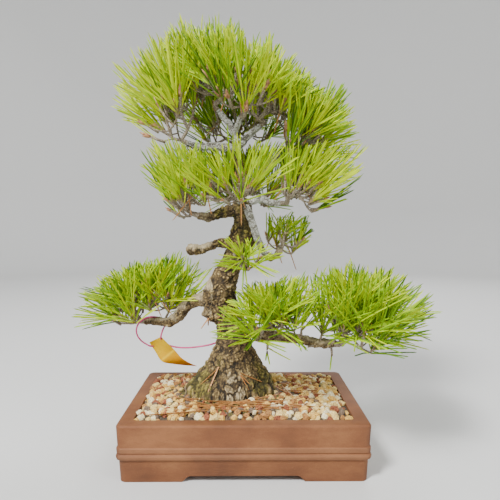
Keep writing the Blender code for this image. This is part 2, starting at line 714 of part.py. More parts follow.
clear_scene()
FINISHES = {
    "clay": coat("unglazed_clay", (0.34, 0.18, 0.12), 0.75),
    "gravel": coat("pumice_gravel", (0.62, 0.52, 0.38), 0.90),
    "bark": coat("old_bark", (0.19, 0.14, 0.09), 0.90),
    "grey_bark": coat("grey_bark", (0.30, 0.28, 0.24), 0.85),
    "bright": coat("bright_needles", (0.30, 0.45, 0.03), 0.60),
    "cool": coat("cool_needles", (0.20, 0.36, 0.05), 0.60),
    "dark": coat("dark_needles", (0.08, 0.18, 0.03), 0.60),
    "tag": coat("tag_plastic", (0.90, 0.60, 0.02), 0.45),
    "band": coat("band_plastic", (0.70, 0.10, 0.25), 0.45),
}

build_pot()
build_soil()
build_trunk_and_limbs()
for seed, mass in enumerate(MASSES):
    build_mass(mass, seed + 1)
build_tag()
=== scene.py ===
"""The looks of a Japanese black pine bonsai in its pot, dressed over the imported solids.

Metres, +Z up. The origin is on the ground under the middle of the pot, and -Y faces the viewer.
"""

import itertools
import json
import math
import random

import bmesh
import bpy
import numpy as np
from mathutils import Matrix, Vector, noise


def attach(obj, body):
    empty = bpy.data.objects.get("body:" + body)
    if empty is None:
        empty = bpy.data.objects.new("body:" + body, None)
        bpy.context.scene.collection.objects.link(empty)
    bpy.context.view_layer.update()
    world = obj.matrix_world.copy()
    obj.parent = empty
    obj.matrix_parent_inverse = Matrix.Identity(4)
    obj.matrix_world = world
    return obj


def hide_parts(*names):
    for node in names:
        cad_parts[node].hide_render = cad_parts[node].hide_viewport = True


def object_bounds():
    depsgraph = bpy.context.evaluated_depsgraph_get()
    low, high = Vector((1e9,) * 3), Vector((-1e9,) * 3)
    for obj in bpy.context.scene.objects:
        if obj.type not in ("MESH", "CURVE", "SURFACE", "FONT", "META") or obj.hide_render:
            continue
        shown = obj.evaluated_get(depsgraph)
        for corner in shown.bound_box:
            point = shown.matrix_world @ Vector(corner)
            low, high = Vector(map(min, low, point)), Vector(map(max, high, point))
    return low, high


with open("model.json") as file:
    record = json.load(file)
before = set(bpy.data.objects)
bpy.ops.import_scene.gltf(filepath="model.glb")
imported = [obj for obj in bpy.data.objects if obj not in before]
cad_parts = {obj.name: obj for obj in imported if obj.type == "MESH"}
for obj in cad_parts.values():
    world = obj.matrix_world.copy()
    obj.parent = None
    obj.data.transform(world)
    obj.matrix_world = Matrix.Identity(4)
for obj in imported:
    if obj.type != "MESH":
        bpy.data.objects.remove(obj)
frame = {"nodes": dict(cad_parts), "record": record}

CAD_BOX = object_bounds()
UP = Vector((0.0, 0.0, 1.0))
GAP = 0.0003


def in_metres(*rows):
    """Rows of numbers given in millimetres."""
    return [tuple(part / 1000 for part in row) for row in rows]


# The photograph's view: level with the lower crown, a hand above the pot's rim
EYE = (0.0027, -0.6738, 0.2995)
EYE_TURN = (87.2, 0.0, -0.45)
LENS = 36.0

# The floor, and the sweep that takes it up into a wall
FLOOR_RADIUS = 2.6
SWEEP = 0.6
SWEEP_STEPS = 8
WALL_HEIGHT = 2.6
SKY = 0.52
# Lamps, all turned to the crown's foot: place, size and power.
LIT = (0.0, 0.0, 0.3)
LAMPS = {
    "key": ((-1.1, -1.5, 2.1), 0.6, 134.0),
    "fill": ((1.7, -1.3, 1.2), 1.4, 18.0),
    "rim": ((0.7, 1.8, 1.9), 1.0, 36.0),
}

# Pot, from the ground up: height, and how far the face is set in from the rim's outer face.
POT_LENGTH = 0.300
POT_DEPTH = 0.215
POT_HEIGHT = 0.0685
POT_CORNER = 0.008
RIM_WIDTH = 0.018
CAVITY_DEPTH = 0.0545
WALL_TAPER = 0.002
POT_OUTSIDE = (
    (0.0000, 0.0045),
    (0.0260, 0.0032),
    (0.0275, 0.0008),
    (0.0310, 0.0000),
    (0.0338, 0.0008),
    (0.0345, 0.0019),
    (0.0354, 0.0008),
    (0.0410, 0.0006),
    (0.0420, 0.0018),
    (0.0660, 0.0006),
    (POT_HEIGHT, 0.0020),
)
FOOT_HEIGHT = 0.007
FRONT_CUT_HALF = 0.072
SIDE_CUT_HALF = 0.042
CUT_SLOPE = 0.007
EDGE_SOFTENING = 0.0007
SHOULDER_SOFTENING = 0.003
# The belt's ridges, which carry a painted highlight of paler clay: their levels, and how near the rim's outer
# face they come.
RIDGES = ((0.0280, 0.0335), (0.0360, 0.0415))
RIDGE_INSET = 0.0016

# Gravel: its level at the trunk and at the wall, and the flat pad, the reach and the foot that it lies round
SOIL_TOP = 0.0750
SOIL_AT_WALL = 0.0655
PAD_RADIUS = 0.0740
FOOT_X = -0.019
BED_HALF_X = 0.1320
BED_HALF_Y = 0.0895
STONE_SHAPES = 9
ROW_SHARE = 0.87
STRAY = 0.38
UNEVEN = 0.0015
FOOT_HALF_X = 0.060
FOOT_HALF_Y = 0.053
# Beds of stones: spacing, size, how deep they sink, and how often each finish comes up.
BEDS = {
    # The under bed is dealt mostly dark finishes, so that its stones show as painted shade in the gaps
    # between the top stones.
    "under": (0.0066, 0.0078, 0.0060, (0.04, 0.08, 0.00, 0.20, 0.17, 0.21, 0.30)),
    "top": (0.0065, 0.0073, 0.0008, (0.33, 0.20, 0.15, 0.13, 0.13, 0.06, 0.00)),
    "crumbs": (0.0045, 0.0050, 0.0012, (0.05, 0.07, 0.01, 0.22, 0.12, 0.24, 0.29)),
}

# Settles how the bark's plates wander, so that each run gives the same. It may not be 0.
BARK_SEED = 1
# Levels on the wood: where the flare's plates begin to stretch, where the moss of the foot ends,
# and where the crown's moss begins.
FLARE_TOP = 0.165
MOSS_TOP = 0.142
CROWN_MOSS = 0.235

# What smoothing takes off a limb's radius
SMOOTHING_LOSS = 0.0006
# Size of the squares that the skin of old and of grey wood is drawn in
OLD_SQUARE = 0.00101
GREY_SQUARE = 0.0008
# Limbs: their points from root to tip as x, y, z and radius, in millimetres
LIMBS = {name: in_metres(*points) for name, points in {
    "low_left_bough": (
        (-40, 3, 206, 8.5), (-58, 8, 199, 8), (-78, 14, 190, 6.8), (-92, 22, 173, 7), (-108, 32, 163, 5.6),
        (-126, 41, 162, 5), (-143, 47, 161, 4.4),
    ),
    "low_right_bough": (
        (-14, -6, 163, 9), (10, -18, 159, 8), (34, -27, 156, 6.8), (62, -31, 154, 5.8), (90, -34, 149, 5),
        (116, -36, 147, 4.4),
    ),
    "low_right_inner_bough": ((19, -22, 158, 4), (24, -30, 162, 3.6), (33, -37, 166, 3.2)),
    "dead_stub": (
        (-8, 0, 274, 6), (-30, -7, 276, 5.2), (-52, -12, 270, 4.8), (-64, -15, 268, 6),
        (-71, -16, 268, 6.6), (-75, -17, 268, 3.5),
    ),
    "front_twig": ((-10, -4, 249, 3.8), (1, -19, 247, 3), (-1, -28, 248, 2.6)),
    "hanging_branch": (
        (1, -3, 326, 4.8), (7, -14, 314, 4.4), (11, -18, 302, 4.2), (16, -18, 287, 4), (23, -14, 270, 3.8),
        (28, -7, 261, 3.6),
    ),
    "small_right_bough": ((26.5, -9, 263, 2.6), (33, 3, 257, 3.6), (42, 24, 256, 3.4), (50, 42, 262, 3)),
    "crown_left_bough": (
        (-4, 0, 321, 8.5), (-21, -4, 319, 7.2), (-36, -9, 314, 6), (-50, -13, 311, 5.4),
        (-60, -15, 313, 4.4),
    ),
    "crown_right_bough": (
        (-1, 0, 334, 6.4), (13, -4, 333, 5.2), (21, -7, 336, 4.6), (34, -11, 330, 4), (48, -13, 329, 3.6),
    ),
    "crown_front_bough": ((-3, -1, 332, 5), (-6, -16, 333, 4.4), (-8, -28, 335, 3.6)),
    "crown_back_bough": ((-2, 1, 330, 6), (3, 18, 333, 5.2), (5, 36, 338, 4.2)),
    "right_rising_bough": (
        (-3, 0, 360, 4), (11, 0, 371, 4.2), (25, 1, 376, 4), (41, 1, 391, 3.6), (56, -1, 398, 3.2),
    ),
    "upper_left_bough": (
        (-11, -4, 402, 3.4), (-24, -8, 403, 4.8), (-40, -11, 403, 4.6), (-60, -14, 402, 4.2),
        (-74, -15, 407, 3.6),
    ),
    "upper_right_bough": ((-11, -4, 398, 3.2), (0, -3, 412, 4), (12, -2, 424, 3.6), (22, -1, 432, 3.2)),
    "leader_top": (
        (-11, -5, 407, 3.4), (-12, -5, 418, 3.8), (-17, -5, 430, 3.8), (-26, -4, 441, 3.6),
        (-34, -4, 452, 3.2),
    ),
    "upper_front_bough": ((-13, -5, 421, 2.4), (-9, -16, 428, 3), (-4, -28, 438, 2.8)),
    "upper_back_bough": ((-8, -2, 386, 3.6), (-10, 14, 396, 4), (-11, 36, 410, 3.6)),
}.items()}

# The younger limbs, with grey bark
GREY_WOOD = (
    "hanging_branch", "crown_right_bough", "crown_front_bough", "crown_back_bough", "right_rising_bough",
    "upper_left_bough", "upper_right_bough", "leader_top", "upper_front_bough", "upper_back_bough",
)

# Needle masses: the limb that carries each, the middle of its shoots, how far they spread from it,
# which way they face, how many there are, and their needles' length. Sizes are in millimetres.
MASSES = {
    name: (limb, *in_metres(heart, spread), face, count, length / 1000)
    for name, limb, heart, spread, face, count, length in (
        ("low_left_needles", "low_left_bough", (-146, 51, 180), (46, 38, 16), (-0.30, 0.00, 0.95), 14, 94),
        ("low_right_inner_needles", "low_right_inner_bough",
            (40, -42, 171), (38, 26, 12), (-0.15, -0.20, 0.97), 9, 80),
        ("low_right_outer_needles", "low_right_bough",
            (140, -36, 164), (50, 42, 15), (0.28, 0.00, 0.96), 14, 104),
        ("small_back_needles", "small_right_bough", (60, 78, 272), (24, 32, 12), (0.30, 0.50, 0.80), 8, 72),
        ("front_needles", "front_twig", (1, -43, 252), (18, 8, 6), (0.10, -0.70, 0.70), 4, 70),
        ("crown_left_needles", "crown_left_bough",
            (-69, -20, 331), (27, 32, 12), (-0.45, -0.10, 0.88), 9, 96),
        ("crown_right_needles", "crown_right_bough",
            (74, -12, 340), (26, 34, 12), (0.62, -0.10, 0.77), 9, 94),
        ("crown_front_needles", "crown_front_bough",
            (-6, -46, 340), (30, 14, 10), (0.00, -0.55, 0.83), 7, 88),
        ("crown_back_needles", "crown_back_bough", (4, 64, 346), (44, 20, 14), (0.00, 0.70, 0.70), 9, 90),
        ("right_needles", "right_rising_bough", (78, -4, 400), (24, 42, 28), (0.68, 0.00, 0.73), 10, 90),
        ("upper_left_needles", "upper_left_bough",
            (-84, -10, 446), (28, 40, 14), (-0.44, 0.00, 0.90), 9, 100),
        ("upper_right_needles", "upper_right_bough", (44, 2, 450), (34, 36, 14), (0.40, 0.00, 0.92), 9, 96),
        ("top_needles", "leader_top", (-50, 0, 484), (34, 34, 14), (-0.15, 0.00, 0.99), 10, 100),
        ("upper_front_needles", "upper_front_bough",
            (-4, -48, 456), (40, 14, 14), (0.00, -0.50, 0.86), 8, 92),
        ("upper_back_needles", "upper_back_bough", (-12, 60, 440), (50, 18, 22), (0.00, 0.70, 0.71), 10, 94),
    )
}

# Tag and its band. The tag: middle of each cross line, and half of that line.
TAG_THICKNESS = 0.0010
TAG = (
    ((-0.1275, 0.036, 0.1365), (0.0095, -0.0060, 0.0055)),
    ((-0.1175, 0.032, 0.1255), (0.0095, -0.0040, 0.0070)),
    ((-0.1075, 0.029, 0.1145), (0.0095, -0.0015, 0.0082)),
    ((-0.0950, 0.027, 0.1080), (0.0070, -0.0080, 0.0065)),
    ((-0.0800, 0.026, 0.1035), (0.0040, -0.0108, 0.0045)),
    ((-0.0690, 0.026, 0.1010), (0.0030, -0.0115, 0.0030)),
)
BAND_RADIUS = 0.00115
BAND = in_metres(
    (-129, 41, 125.5), (-134.5, 33, 128), (-140, 34, 130.5), (-147, 36, 134.5), (-152.5, 37, 141),
    (-154.5, 37, 149.5), (-152, 37, 158), (-145.5, 38, 165), (-137, 42, 167.8), (-128.5, 45, 167.4),
    (-121.5, 46.5, 165.5), (-116.5, 46.5, 161), (-115, 43, 155), (-116.5, 34, 150), (-118, 28, 142),
    (-117.5, 33, 136), (-112, 36, 130), (-100, 34, 126.5), (-82, 26, 127), (-62, 21, 130), (-48, 19, 133),
    (-37, 25, 135), (-20, 31, 136), (-2, 29, 137),
)

# Twigs, grown by the same rule as the solids'
GOLDEN_ANGLE = math.pi * (3.0 - math.sqrt(5.0))
STEM_STUB = 0.008
TWIG_RADIUS = 0.0012
TWIG_DROOP = 0.12
TWIG_TAPER = 0.45
FORK_TRIES = 4
FORK_RETREAT = 0.3
SHOOT_JITTER = 0.003
OUTWARD_LEAN = 0.75
UPWARD_LEAN = 0.15
FACE_REACH = 0.055
SPACE_MARGIN = 0.0022
LIMB_MARGIN = 0.0028
WOOD_MARGIN = 0.0005
NEEDLE_STEPS = (0.12, 0.4, 0.7, 1.0)
TWIG_STEPS = (0.4, 0.7, 1.0)

# Levels that part the low masses, the crown and the top of the tree
LOW_MASSES_END = 0.2
CROWN_START = 0.3
TOP_START = 0.38

# Finer twigs and needles
SHOOT_LENGTH = 0.020
SIDE_SHOOTS = 2
# How much shorter the needles of side shoots are
SIDE_SHARE = 0.92
# Needle pairs on a twig's tip and on its side shoots, and where a mass isn't like the rest
PAIRS = (11, 5)
SPARSE = {
    "crown_front_needles": (5, 1), "crown_left_needles": (9, 3), "crown_right_needles": (9, 3),
    "small_back_needles": (14, 0), "front_needles": (4, 0), "upper_front_needles": (8, 4),
    "low_left_needles": (10, 4),
}
# How far needles lean from their shoot, in degrees: the youngest, the oldest, and the oldest of open tufts
NARROWEST_LEAN = 7.0
WIDEST_LEAN = 38.0
OPEN_TUFTS = {
    "front_needles": 80.0, "low_right_inner_needles": 76.0, "low_right_outer_needles": 66.0,
    "low_left_needles": 58.0, "small_back_needles": 56.0,
}
# The woody foot of a shoot that stands alone: how far along it, and radius.
LONE_STALK = ((-0.005, 0.0016), (0.006, 0.0017), (0.012, 0.001))
# Masses without side shoots
LONE_TUFTS = ("front_needles", "small_back_needles")
# Needles are drawn longer than the solids' blades by this share.
LENGTHENED = 1.14

# Shoots that stand straight on the wood, mass by mass: root, way, needle pairs and needles' length, in mm.
LONE_SHOOTS = {
    "front_needles": (
        ((-1, -28, 248), (0.05, -0.75, 0.50), 17, 74),
    ),
    "low_right_inner_needles": (
        ((31, -33, 150), (-0.10, -0.45, -0.75), 5, 40),
        ((12, -26, 157), (-0.55, -0.70, -0.15), 6, 62),
    ),
    "low_right_outer_needles": (
        ((93, -38, 146.5), (-0.93, -0.20, -0.20), 5, 40),
        ((112, -38, 144.5), (0.10, -0.20, -0.97), 3, 34),
        ((74, -34.5, 156), (-0.05, -0.35, 0.94), 12, 84),
        ((98, -37.5, 151.5), (0.10, -0.45, 0.88), 14, 92),
        ((112, -38.5, 149), (0.55, -0.35, 0.75), 14, 98),
    ),
    "low_left_needles": (
        ((-98, 29, 176), (0.72, 0.10, 0.68), 12, 85),
        ((-112, 37, 168), (0.45, -0.10, 0.90), 12, 85),
    ),
}

# Dead needles on the roots, seen from the front: x and z of both ends on the pot's middle plane
ON_ROOTS = (
    ((-0.0343, 0.1068), (-0.0603, 0.0819)), ((-0.0343, 0.1068), (-0.0494, 0.0708)),
    ((-0.0057, 0.0970), (0.0080, 0.0748)), ((-0.0057, 0.0970), (0.0135, 0.0776)),
    ((-0.0057, 0.0970), (0.0244, 0.0845)),
)
# Two that are caught on a bough
CAUGHT = (
    ((-0.1363, 0.0120, 0.2275), (-0.1170, 0.0330, 0.1675)),
    ((-0.1278, 0.0100, 0.2167), (-0.1005, 0.0240, 0.1735)),
)
# How many dead needles hang under the trunk's knob, lie on the gravel and stay in the tree
UNDER_KNOB = 6
ON_GRAVEL = 130
LODGED = 40
# How far out the ends of needles on the gravel may lie, and how near the trunk
FALLEN_X = 0.127
FALLEN_Y = 0.085
CLEAR_OF_FOOT = (0.058, 0.051)

# How far sprays are drawn in from their tier's outline at most, in the crown and in the low masses,
# and how deep the outline's valleys are, as shares of its reach
DEEPEST_GAP = 0.36
LOW_GAP = 0.18
VALLEYS = 0.10
# Some tufts of the crown rise straight and narrow past the rest.
RISEN_SHARE = 0.20
RISEN_LEAN = 15.0
RISEN_LENGTH = 1.1
# How far each tier reaches as it is seen from the front: x and z on the pot's middle plane, in millimetres
TOP_TIER = in_metres(
    (-172, 436), (-175, 455), (-177, 508), (-151, 529), (-140, 565), (-113, 574), (-89, 588), (-71, 578),
    (-39, 582), (-8, 570), (4, 563), (24, 558), (37, 558), (54, 537), (81, 529), (104, 508), (117, 498),
    (141, 484), (152, 469), (155, 451), (170, 430), (169, 403), (135, 400), (102, 414), (75, 407),
    (55, 414), (24, 429), (-5, 424), (-39, 413), (-72, 420), (-96, 423), (-125, 429),
)
RIGHT_TIER = in_metres(
    (61, 519), (104, 508), (117, 498), (141, 484), (152, 469), (157, 451), (171, 430), (171, 407),
    (166, 381), (150, 353), (115, 374), (75, 380), (48, 400),
)
MIDDLE_TIER = in_metres(
    (-142, 372), (-134, 428), (-117, 415), (-101, 430), (-72, 414), (-39, 424), (-20, 436), (4, 416),
    (24, 430), (48, 428), (101, 434), (171, 410), (164, 381), (145, 341), (132, 328), (99, 323), (62, 316),
    (1, 308), (-73, 302), (-112, 312), (-122, 344),
)
OUTLINES = {name: in_metres(*corners) for name, corners in {
    "low_left_needles": (
        (-243, 174), (-237, 192), (-224, 214), (-201, 231), (-171, 249), (-138, 261), (-109, 264),
        (-96, 272), (-76, 271), (-65, 257), (-35, 248), (-43, 226), (-46, 199), (-64, 191), (-114, 178),
        (-166, 165), (-219, 146), (-240, 159),
    ),
    "front_needles": (
        (-45, 277), (-22, 289), (16, 285), (42, 272), (61, 257), (58, 227), (24, 229), (0, 214), (-24, 222),
        (-47, 250),
    ),
    "small_back_needles": (
        (24, 324), (69, 322), (90, 318), (101, 291), (86, 267), (66, 254), (48, 267), (30, 261), (24, 289),
    ),
    "low_right_inner_needles": (
        (-64, 151), (-46, 171), (-42, 192), (-22, 204), (-6, 226), (24, 230), (62, 239), (89, 242),
        (112, 219), (113, 157), (93, 127), (57, 109), (38, 101), (19, 120), (-2, 119), (-22, 137),
    ),
    "low_right_outer_needles": (
        (73, 231), (96, 246), (120, 252), (143, 261), (164, 250), (191, 252), (207, 252), (226, 247),
        (239, 220), (250, 226), (267, 217), (281, 194), (268, 168), (272, 134), (240, 124), (219, 103),
        (186, 123), (138, 98), (116, 100), (112, 124), (45, 126), (44, 152), (60, 171),
    ),
}.items()}
OUTLINES.update(right_needles=RIGHT_TIER, top_needles=TOP_TIER)
for side in ("left", "right", "front", "back"):
    OUTLINES[f"crown_{side}_needles"] = MIDDLE_TIER
    OUTLINES[f"upper_{side}_needles"] = TOP_TIER
# Where a mass's finer shoots face another way than its solid's, and how far down needles may point
FACES = {"crown_front_needles": (0.00, -0.80, 0.60)}
LOWEST_NEEDLE = -0.32
LOWEST_IN = {"upper_front_needles": 0.38, "crown_front_needles": 0.20, "low_right_inner_needles": -0.75}
# How far needles may pass the box of their mass's solid
REACH_MARGIN = 0.002
LONE_MARGIN = 0.016
SHORTENINGS = 12
SHORTENED = 0.93

NEEDLE_WIDTH = 0.0020
NEEDLE_DEPTH = 0.0013
# A needle's rings from root to tip: the share of its length, and its width there.
NEEDLE_RINGS = ((0.0, 0.80), (0.50, 1.0), (0.93, 0.78))
SHEATH_LENGTH = 0.007
SHEATH_RADIUS = 0.0012


class Wire:
    """A value in a finish's node tree, which takes part in sums."""

    def __init__(self, finish, socket):
        self.finish = finish
        self.socket = socket

    def maths(self, operation, first, second):
        return self.finish.node("ShaderNodeMath", {"operation": operation}, {0: first, 1: second})

    def __add__(self, other):
        return self.maths("ADD", self, other)

    def __sub__(self, other):
        return self.maths("SUBTRACT", self, other)

    def __mul__(self, other):
        return self.maths("MULTIPLY", self, other)

    def __rsub__(self, other):
        return self.maths("SUBTRACT", other, self)

    __radd__ = __add__
    __rmul__ = __mul__


class Finish:
    """A material whose look is built from nodes."""

    def __init__(self, name):
        self.material = bpy.data.materials.new(name)
        self.material.use_nodes = True
        self.tree = self.material.node_tree
        self.place = self.node("ShaderNodeTexCoord", output="Object")

    def node(self, kind, settings=(), sockets=(), output=0):
        """A new node with its settings, its sockets' values or wires, and the output that is wanted."""
        made = self.tree.nodes.new(kind)
        for name, value in dict(settings).items():
            if name == "stops":
                self.set_stops(made.color_ramp, value)
            else:
                setattr(made, name, value)
        for key, value in dict(sockets).items():
            self.fill(made.inputs[key], value)
        return Wire(self, made.outputs[output])

    def set_stops(self, ramp, stops):
        while len(ramp.elements) < len(stops):
            ramp.elements.new(0.5)
        for element, (position, colour) in zip(ramp.elements, stops):
            element.position = position
            element.color = (*colour, 1.0)

    def fill(self, socket, value):
        if isinstance(value, Wire):
            self.tree.links.new(value.socket, socket)
        elif isinstance(value, tuple) and len(value) == 3 and socket.type == "RGBA":
            socket.default_value = (*value, 1.0)
        else:
            socket.default_value = value

    def coat(self, **sockets):
        """Sets the surface shader's sockets, named with underscores for spaces."""
        shader = self.tree.nodes["Principled BSDF"]
        for name, value in sockets.items():
            self.fill(shader.inputs[name.replace("_", " ")], value)
        return self.material

    def stretched(self, x, y, z):
        """The place on the piece with its axes scaled."""
        return self.node("ShaderNodeMapping", sockets={"Vector": self.place, "Scale": (x, y, z)})

    def speckle(self, scale, detail, rough=0.55, vector=None):
        """Soft cloudy noise from 0 to 1."""
        sockets = {"Vector": vector or self.place, "Scale": scale, "Detail": detail, "Roughness": rough}
        return self.node("ShaderNodeTexNoise", sockets=sockets)

    def cells(self, scale):
        """A pattern of cells."""
        return self.node("ShaderNodeTexVoronoi", sockets={"Vector": self.place, "Scale": scale})

    def ramp(self, value, *stops):
        """A colour for each value."""
        return self.node("ShaderNodeValToRGB", {"stops": stops}, {"Fac": value})

    def blend(self, share, first, second, way="MIX"):
        """Two colours mixed."""
        settings = {"data_type": "RGBA", "blend_type": way}
        return self.node("ShaderNodeMix", settings, {0: share, 6: first, 7: second}, output=2)

    def carried(self, name):
        """A number that the piece's own points carry."""
        return self.node("ShaderNodeAttribute", {"attribute_name": name}, output="Fac")

    def bumps(self, height, distance, strength, normal=None):
        """Small relief from a value."""
        sockets = {"Height": height, "Distance": distance, "Strength": strength}
        if normal:
            sockets["Normal"] = normal
        return self.node("ShaderNodeBump", sockets=sockets)

    def between(self, value, low, high):
        """A value brought to 0 at `low` and 1 at `high`, and held there beyond."""
        return self.node("ShaderNodeMapRange", {"clamp": True}, {0: value, 1: low, 2: high, 3: 0.0, 4: 1.0})


def clay_finish():
    """Unglazed brown clay: fine grain, faint smears from the mould, a paler bloom, and a painted highlight
    along the belt's ridges.
    """
    clay = Finish("unglazed_clay")
    smears = clay.speckle(16.0, 6.0, 0.7, clay.stretched(1.0, 1.0, 2.2))
    cloud = clay.speckle(14.0, 3.0)
    grain = clay.speckle(950.0, 2.0, 0.7)
    colour = clay.ramp(
        smears * 0.55 + cloud * 0.45,
        (0.36, (0.112, 0.037, 0.011)), (0.50, (0.172, 0.059, 0.018)), (0.64, (0.240, 0.094, 0.032)),
    )
    specks = clay.between(grain, 0.62, 0.72)
    colour = clay.blend(specks * 0.35, colour, (0.30, 0.15, 0.07))
    pits = clay.between(grain, 0.40, 0.30)
    colour = clay.blend(pits * 0.45, colour, (0.08, 0.03, 0.012))
    # Painted highlight: the points on the belt's ridges are lightened towards pale clay.
    colour = clay.blend(clay.carried("worn") * 0.16, colour, (0.36, 0.19, 0.095))
    relief = clay.bumps(grain, 0.00025, 0.5)
    return clay.coat(
        Base_Color=colour, Roughness=0.62 + cloud * 0.25, Normal=clay.bumps(smears, 0.0015, 0.25, relief),
    )


def pumice_finish(name, light, dark):
    """A porous stone of one colour, with darker pits."""
    stone = Finish(name)
    pits = stone.between(stone.speckle(560.0, 3.0, 0.75), 0.38, 0.58)
    return stone.coat(
        Base_Color=stone.blend(pits, dark, light), Roughness=0.88, Normal=stone.bumps(pits, 0.0004, 0.6),
    )


def old_bark_finish():
    """Plated bark: dark fissures deepened with painted shade, tan flaking plates with a painted highlight on
    their tops, grey lichen with a painted top light on the boughs, and moss at the foot.
    """
    bark = Finish("plated_bark")
    grain = bark.speckle(520.0, 5.0, 0.7, bark.stretched(1.0, 1.0, 0.4))
    patches = bark.speckle(38.0, 3.0)
    height = bark.carried("relief") + (grain - 0.5) * 0.35
    # Colour by the relief: the fissures' own dark brown taken to near black as painted shade, and the plate
    # tops lightened to cream as painted highlight.
    colour = bark.ramp(
        height,
        (0.18, (0.012, 0.008, 0.003)), (0.38, (0.060, 0.037, 0.014)),
        (0.58, (0.185, 0.124, 0.046)), (0.82, (0.580, 0.430, 0.190)),
    )
    colour = bark.blend(bark.between(patches, 0.50, 0.72) * 0.4, colour, (0.30, 0.26, 0.21), "MULTIPLY")
    # Lichen greys, which on the boughs' upper sides are also a painted top light.
    lichen = bark.between(bark.carried("lichen") + (grain - 0.5) * 0.8, 0.35, 0.75)
    greys = bark.ramp(grain, (0.3, (0.24, 0.19, 0.11)), (0.7, (0.66, 0.55, 0.34)))
    colour = bark.blend(lichen * 0.75, colour, greys)
    moss = bark.between(bark.carried("moss") + (grain - 0.5) * 1.1, 0.30, 0.66)
    greens = bark.ramp(
        height * 0.55 + grain * 0.45,
        (0.26, (0.015, 0.013, 0.003)), (0.50, (0.074, 0.064, 0.007)), (0.72, (0.30, 0.255, 0.022)),
    )
    colour = bark.blend(moss * 0.72, colour, greens)
    return bark.coat(Base_Color=colour, Roughness=0.90, Normal=bark.bumps(grain, 0.0009, 0.7))


def grey_bark_finish():
    """The younger wood of the crown: grey, ringed with old needle scars, browner in the hollows."""
    bark = Finish("grey_bark")
    grain = bark.speckle(650.0, 4.0, 0.65)
    height = bark.carried("relief") + (grain - 0.5) * 0.4
    colour = bark.ramp(
        height,
        (0.12, (0.080, 0.066, 0.048)), (0.32, (0.255, 0.240, 0.205)), (0.60, (0.520, 0.520, 0.480)),
    )
    return bark.coat(Base_Color=colour, Roughness=0.85, Normal=bark.bumps(grain, 0.0006, 0.6))


def needle_finish(name, colour):
    """A waxy needle of one green, a little uneven from needle to needle."""
    needle = Finish(name)
    drift = needle.between(needle.speckle(75.0, 2.0), 0.35, 0.65)
    darker = tuple(part * 0.72 for part in colour)
    return needle.coat(
        Base_Color=needle.blend(drift, darker, colour), Roughness=0.48, Specular_IOR_Level=0.15,
        Normal=needle.bumps(needle.speckle(900.0, 2.0), 0.0002, 0.3),
    )


def two_tone(name, pattern, settings, low, high, roughness, depth=0.0003, strength=0.4):
    """A finish that goes from one colour to another by a pattern, which also gives its relief."""
    finish = Finish(name)
    value = pattern(finish, *settings)
    return finish.coat(
        Base_Color=finish.ramp(value, low, high), Roughness=roughness,
        Normal=finish.bumps(value, depth, strength),
    )


def tag_finish():
    """Soft yellow plastic with a paler line along its crease, and painted shade: deeper orange towards the
    end that curls away.
    """
    tag = Finish("yellow_tag")
    scuffs = tag.speckle(160.0, 4.0)
    curl = tag.carried("curl")
    shade = curl + (scuffs - 0.5) * 0.15
    # Painted shade: the colour goes from yellow to deeper orange along the strip towards the curled end.
    colour = tag.ramp(shade, (0.20, (0.64, 0.39, 0.0)), (0.48, (0.60, 0.29, 0.0)), (0.90, (0.44, 0.12, 0.0)))
    crease = tag.between(curl, 0.34, 0.38) * tag.between(curl, 0.42, 0.38)
    colour = tag.blend(crease * 0.6, colour, (0.88, 0.62, 0.03))
    relief = tag.bumps(scuffs, 0.0008, 0.3)
    return tag.coat(Base_Color=colour, Roughness=0.6, Specular_IOR_Level=0.05, Normal=relief)


def held(value):
    """A value held between 0 and 1."""
    return min(max(value, 0.0), 1.0)


def unit(rows):
    """Rows of x, y and z brought to length 1."""
    return rows / np.linalg.norm(rows, axis=1)[:, None]


def put(name, data):
    """A new object in the scene."""
    thing = bpy.data.objects.new(name, data)
    bpy.context.scene.collection.objects.link(thing)
    return thing


def pick(*things):
    """Selects these objects and nothing else, the first one active."""
    bpy.ops.object.select_all(action="DESELECT")
    for thing in things:
        thing.select_set(True)
    bpy.context.view_layer.objects.active = things[0]


def begin(add, name, **settings):
    """Adds a basic shape and opens it for editing, all of it selected."""
    bpy.ops.object.select_all(action="DESELECT")
    add(**settings)
    thing = bpy.context.object
    thing.name = name
    bpy.ops.object.mode_set(mode="EDIT")
    bpy.ops.mesh.select_all(action="SELECT")
    return thing


def merge_points(thing, distance):
    """Joins the points that lie together and turns the faces outwards."""
    pick(thing)
    bpy.ops.object.mode_set(mode="EDIT")
    bpy.ops.mesh.select_all(action="SELECT")
    bpy.ops.mesh.remove_doubles(threshold=distance)
    bpy.ops.mesh.normals_make_consistent(inside=False)
    bpy.ops.object.mode_set(mode="OBJECT")


def select_points(thing, test):
    """In edit mode, selects the points that pass a test and nothing else."""
    mesh = bmesh.from_edit_mesh(thing.data)
    for part in (*mesh.faces, *mesh.edges):
        part.select = False
    for vert in mesh.verts:
        vert.select = test(vert.co)
    mesh.select_flush(True)
    bmesh.update_edit_mesh(thing.data)


def modify(thing, kind, **settings):
    """Gives a piece a modifier and applies it."""
    modifier = thing.modifiers.new(kind.lower(), kind)
    for name, value in settings.items():
        setattr(modifier, name, value)
    pick(thing)
    bpy.ops.object.modifier_apply(modifier=modifier.name)


def dress(piece, materials, slot, *nodes):
    """Gives a piece its finishes, sets it on the part's body, and hides the solids it stands for."""
    for material in materials:
        piece.data.materials.append(material)
    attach(piece, "root")
    if nodes:
        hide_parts(*nodes)


def piece_of(name, points, triangles, tones):
    """A piece from arrays of points, triangles and each triangle's finish."""
    mesh = bpy.data.meshes.new(name)
    mesh.from_pydata(points.tolist(), [], triangles.tolist())
    mesh.polygons.foreach_set("material_index", tones.astype(np.int32))
    mesh.update()
    return put(name, mesh)


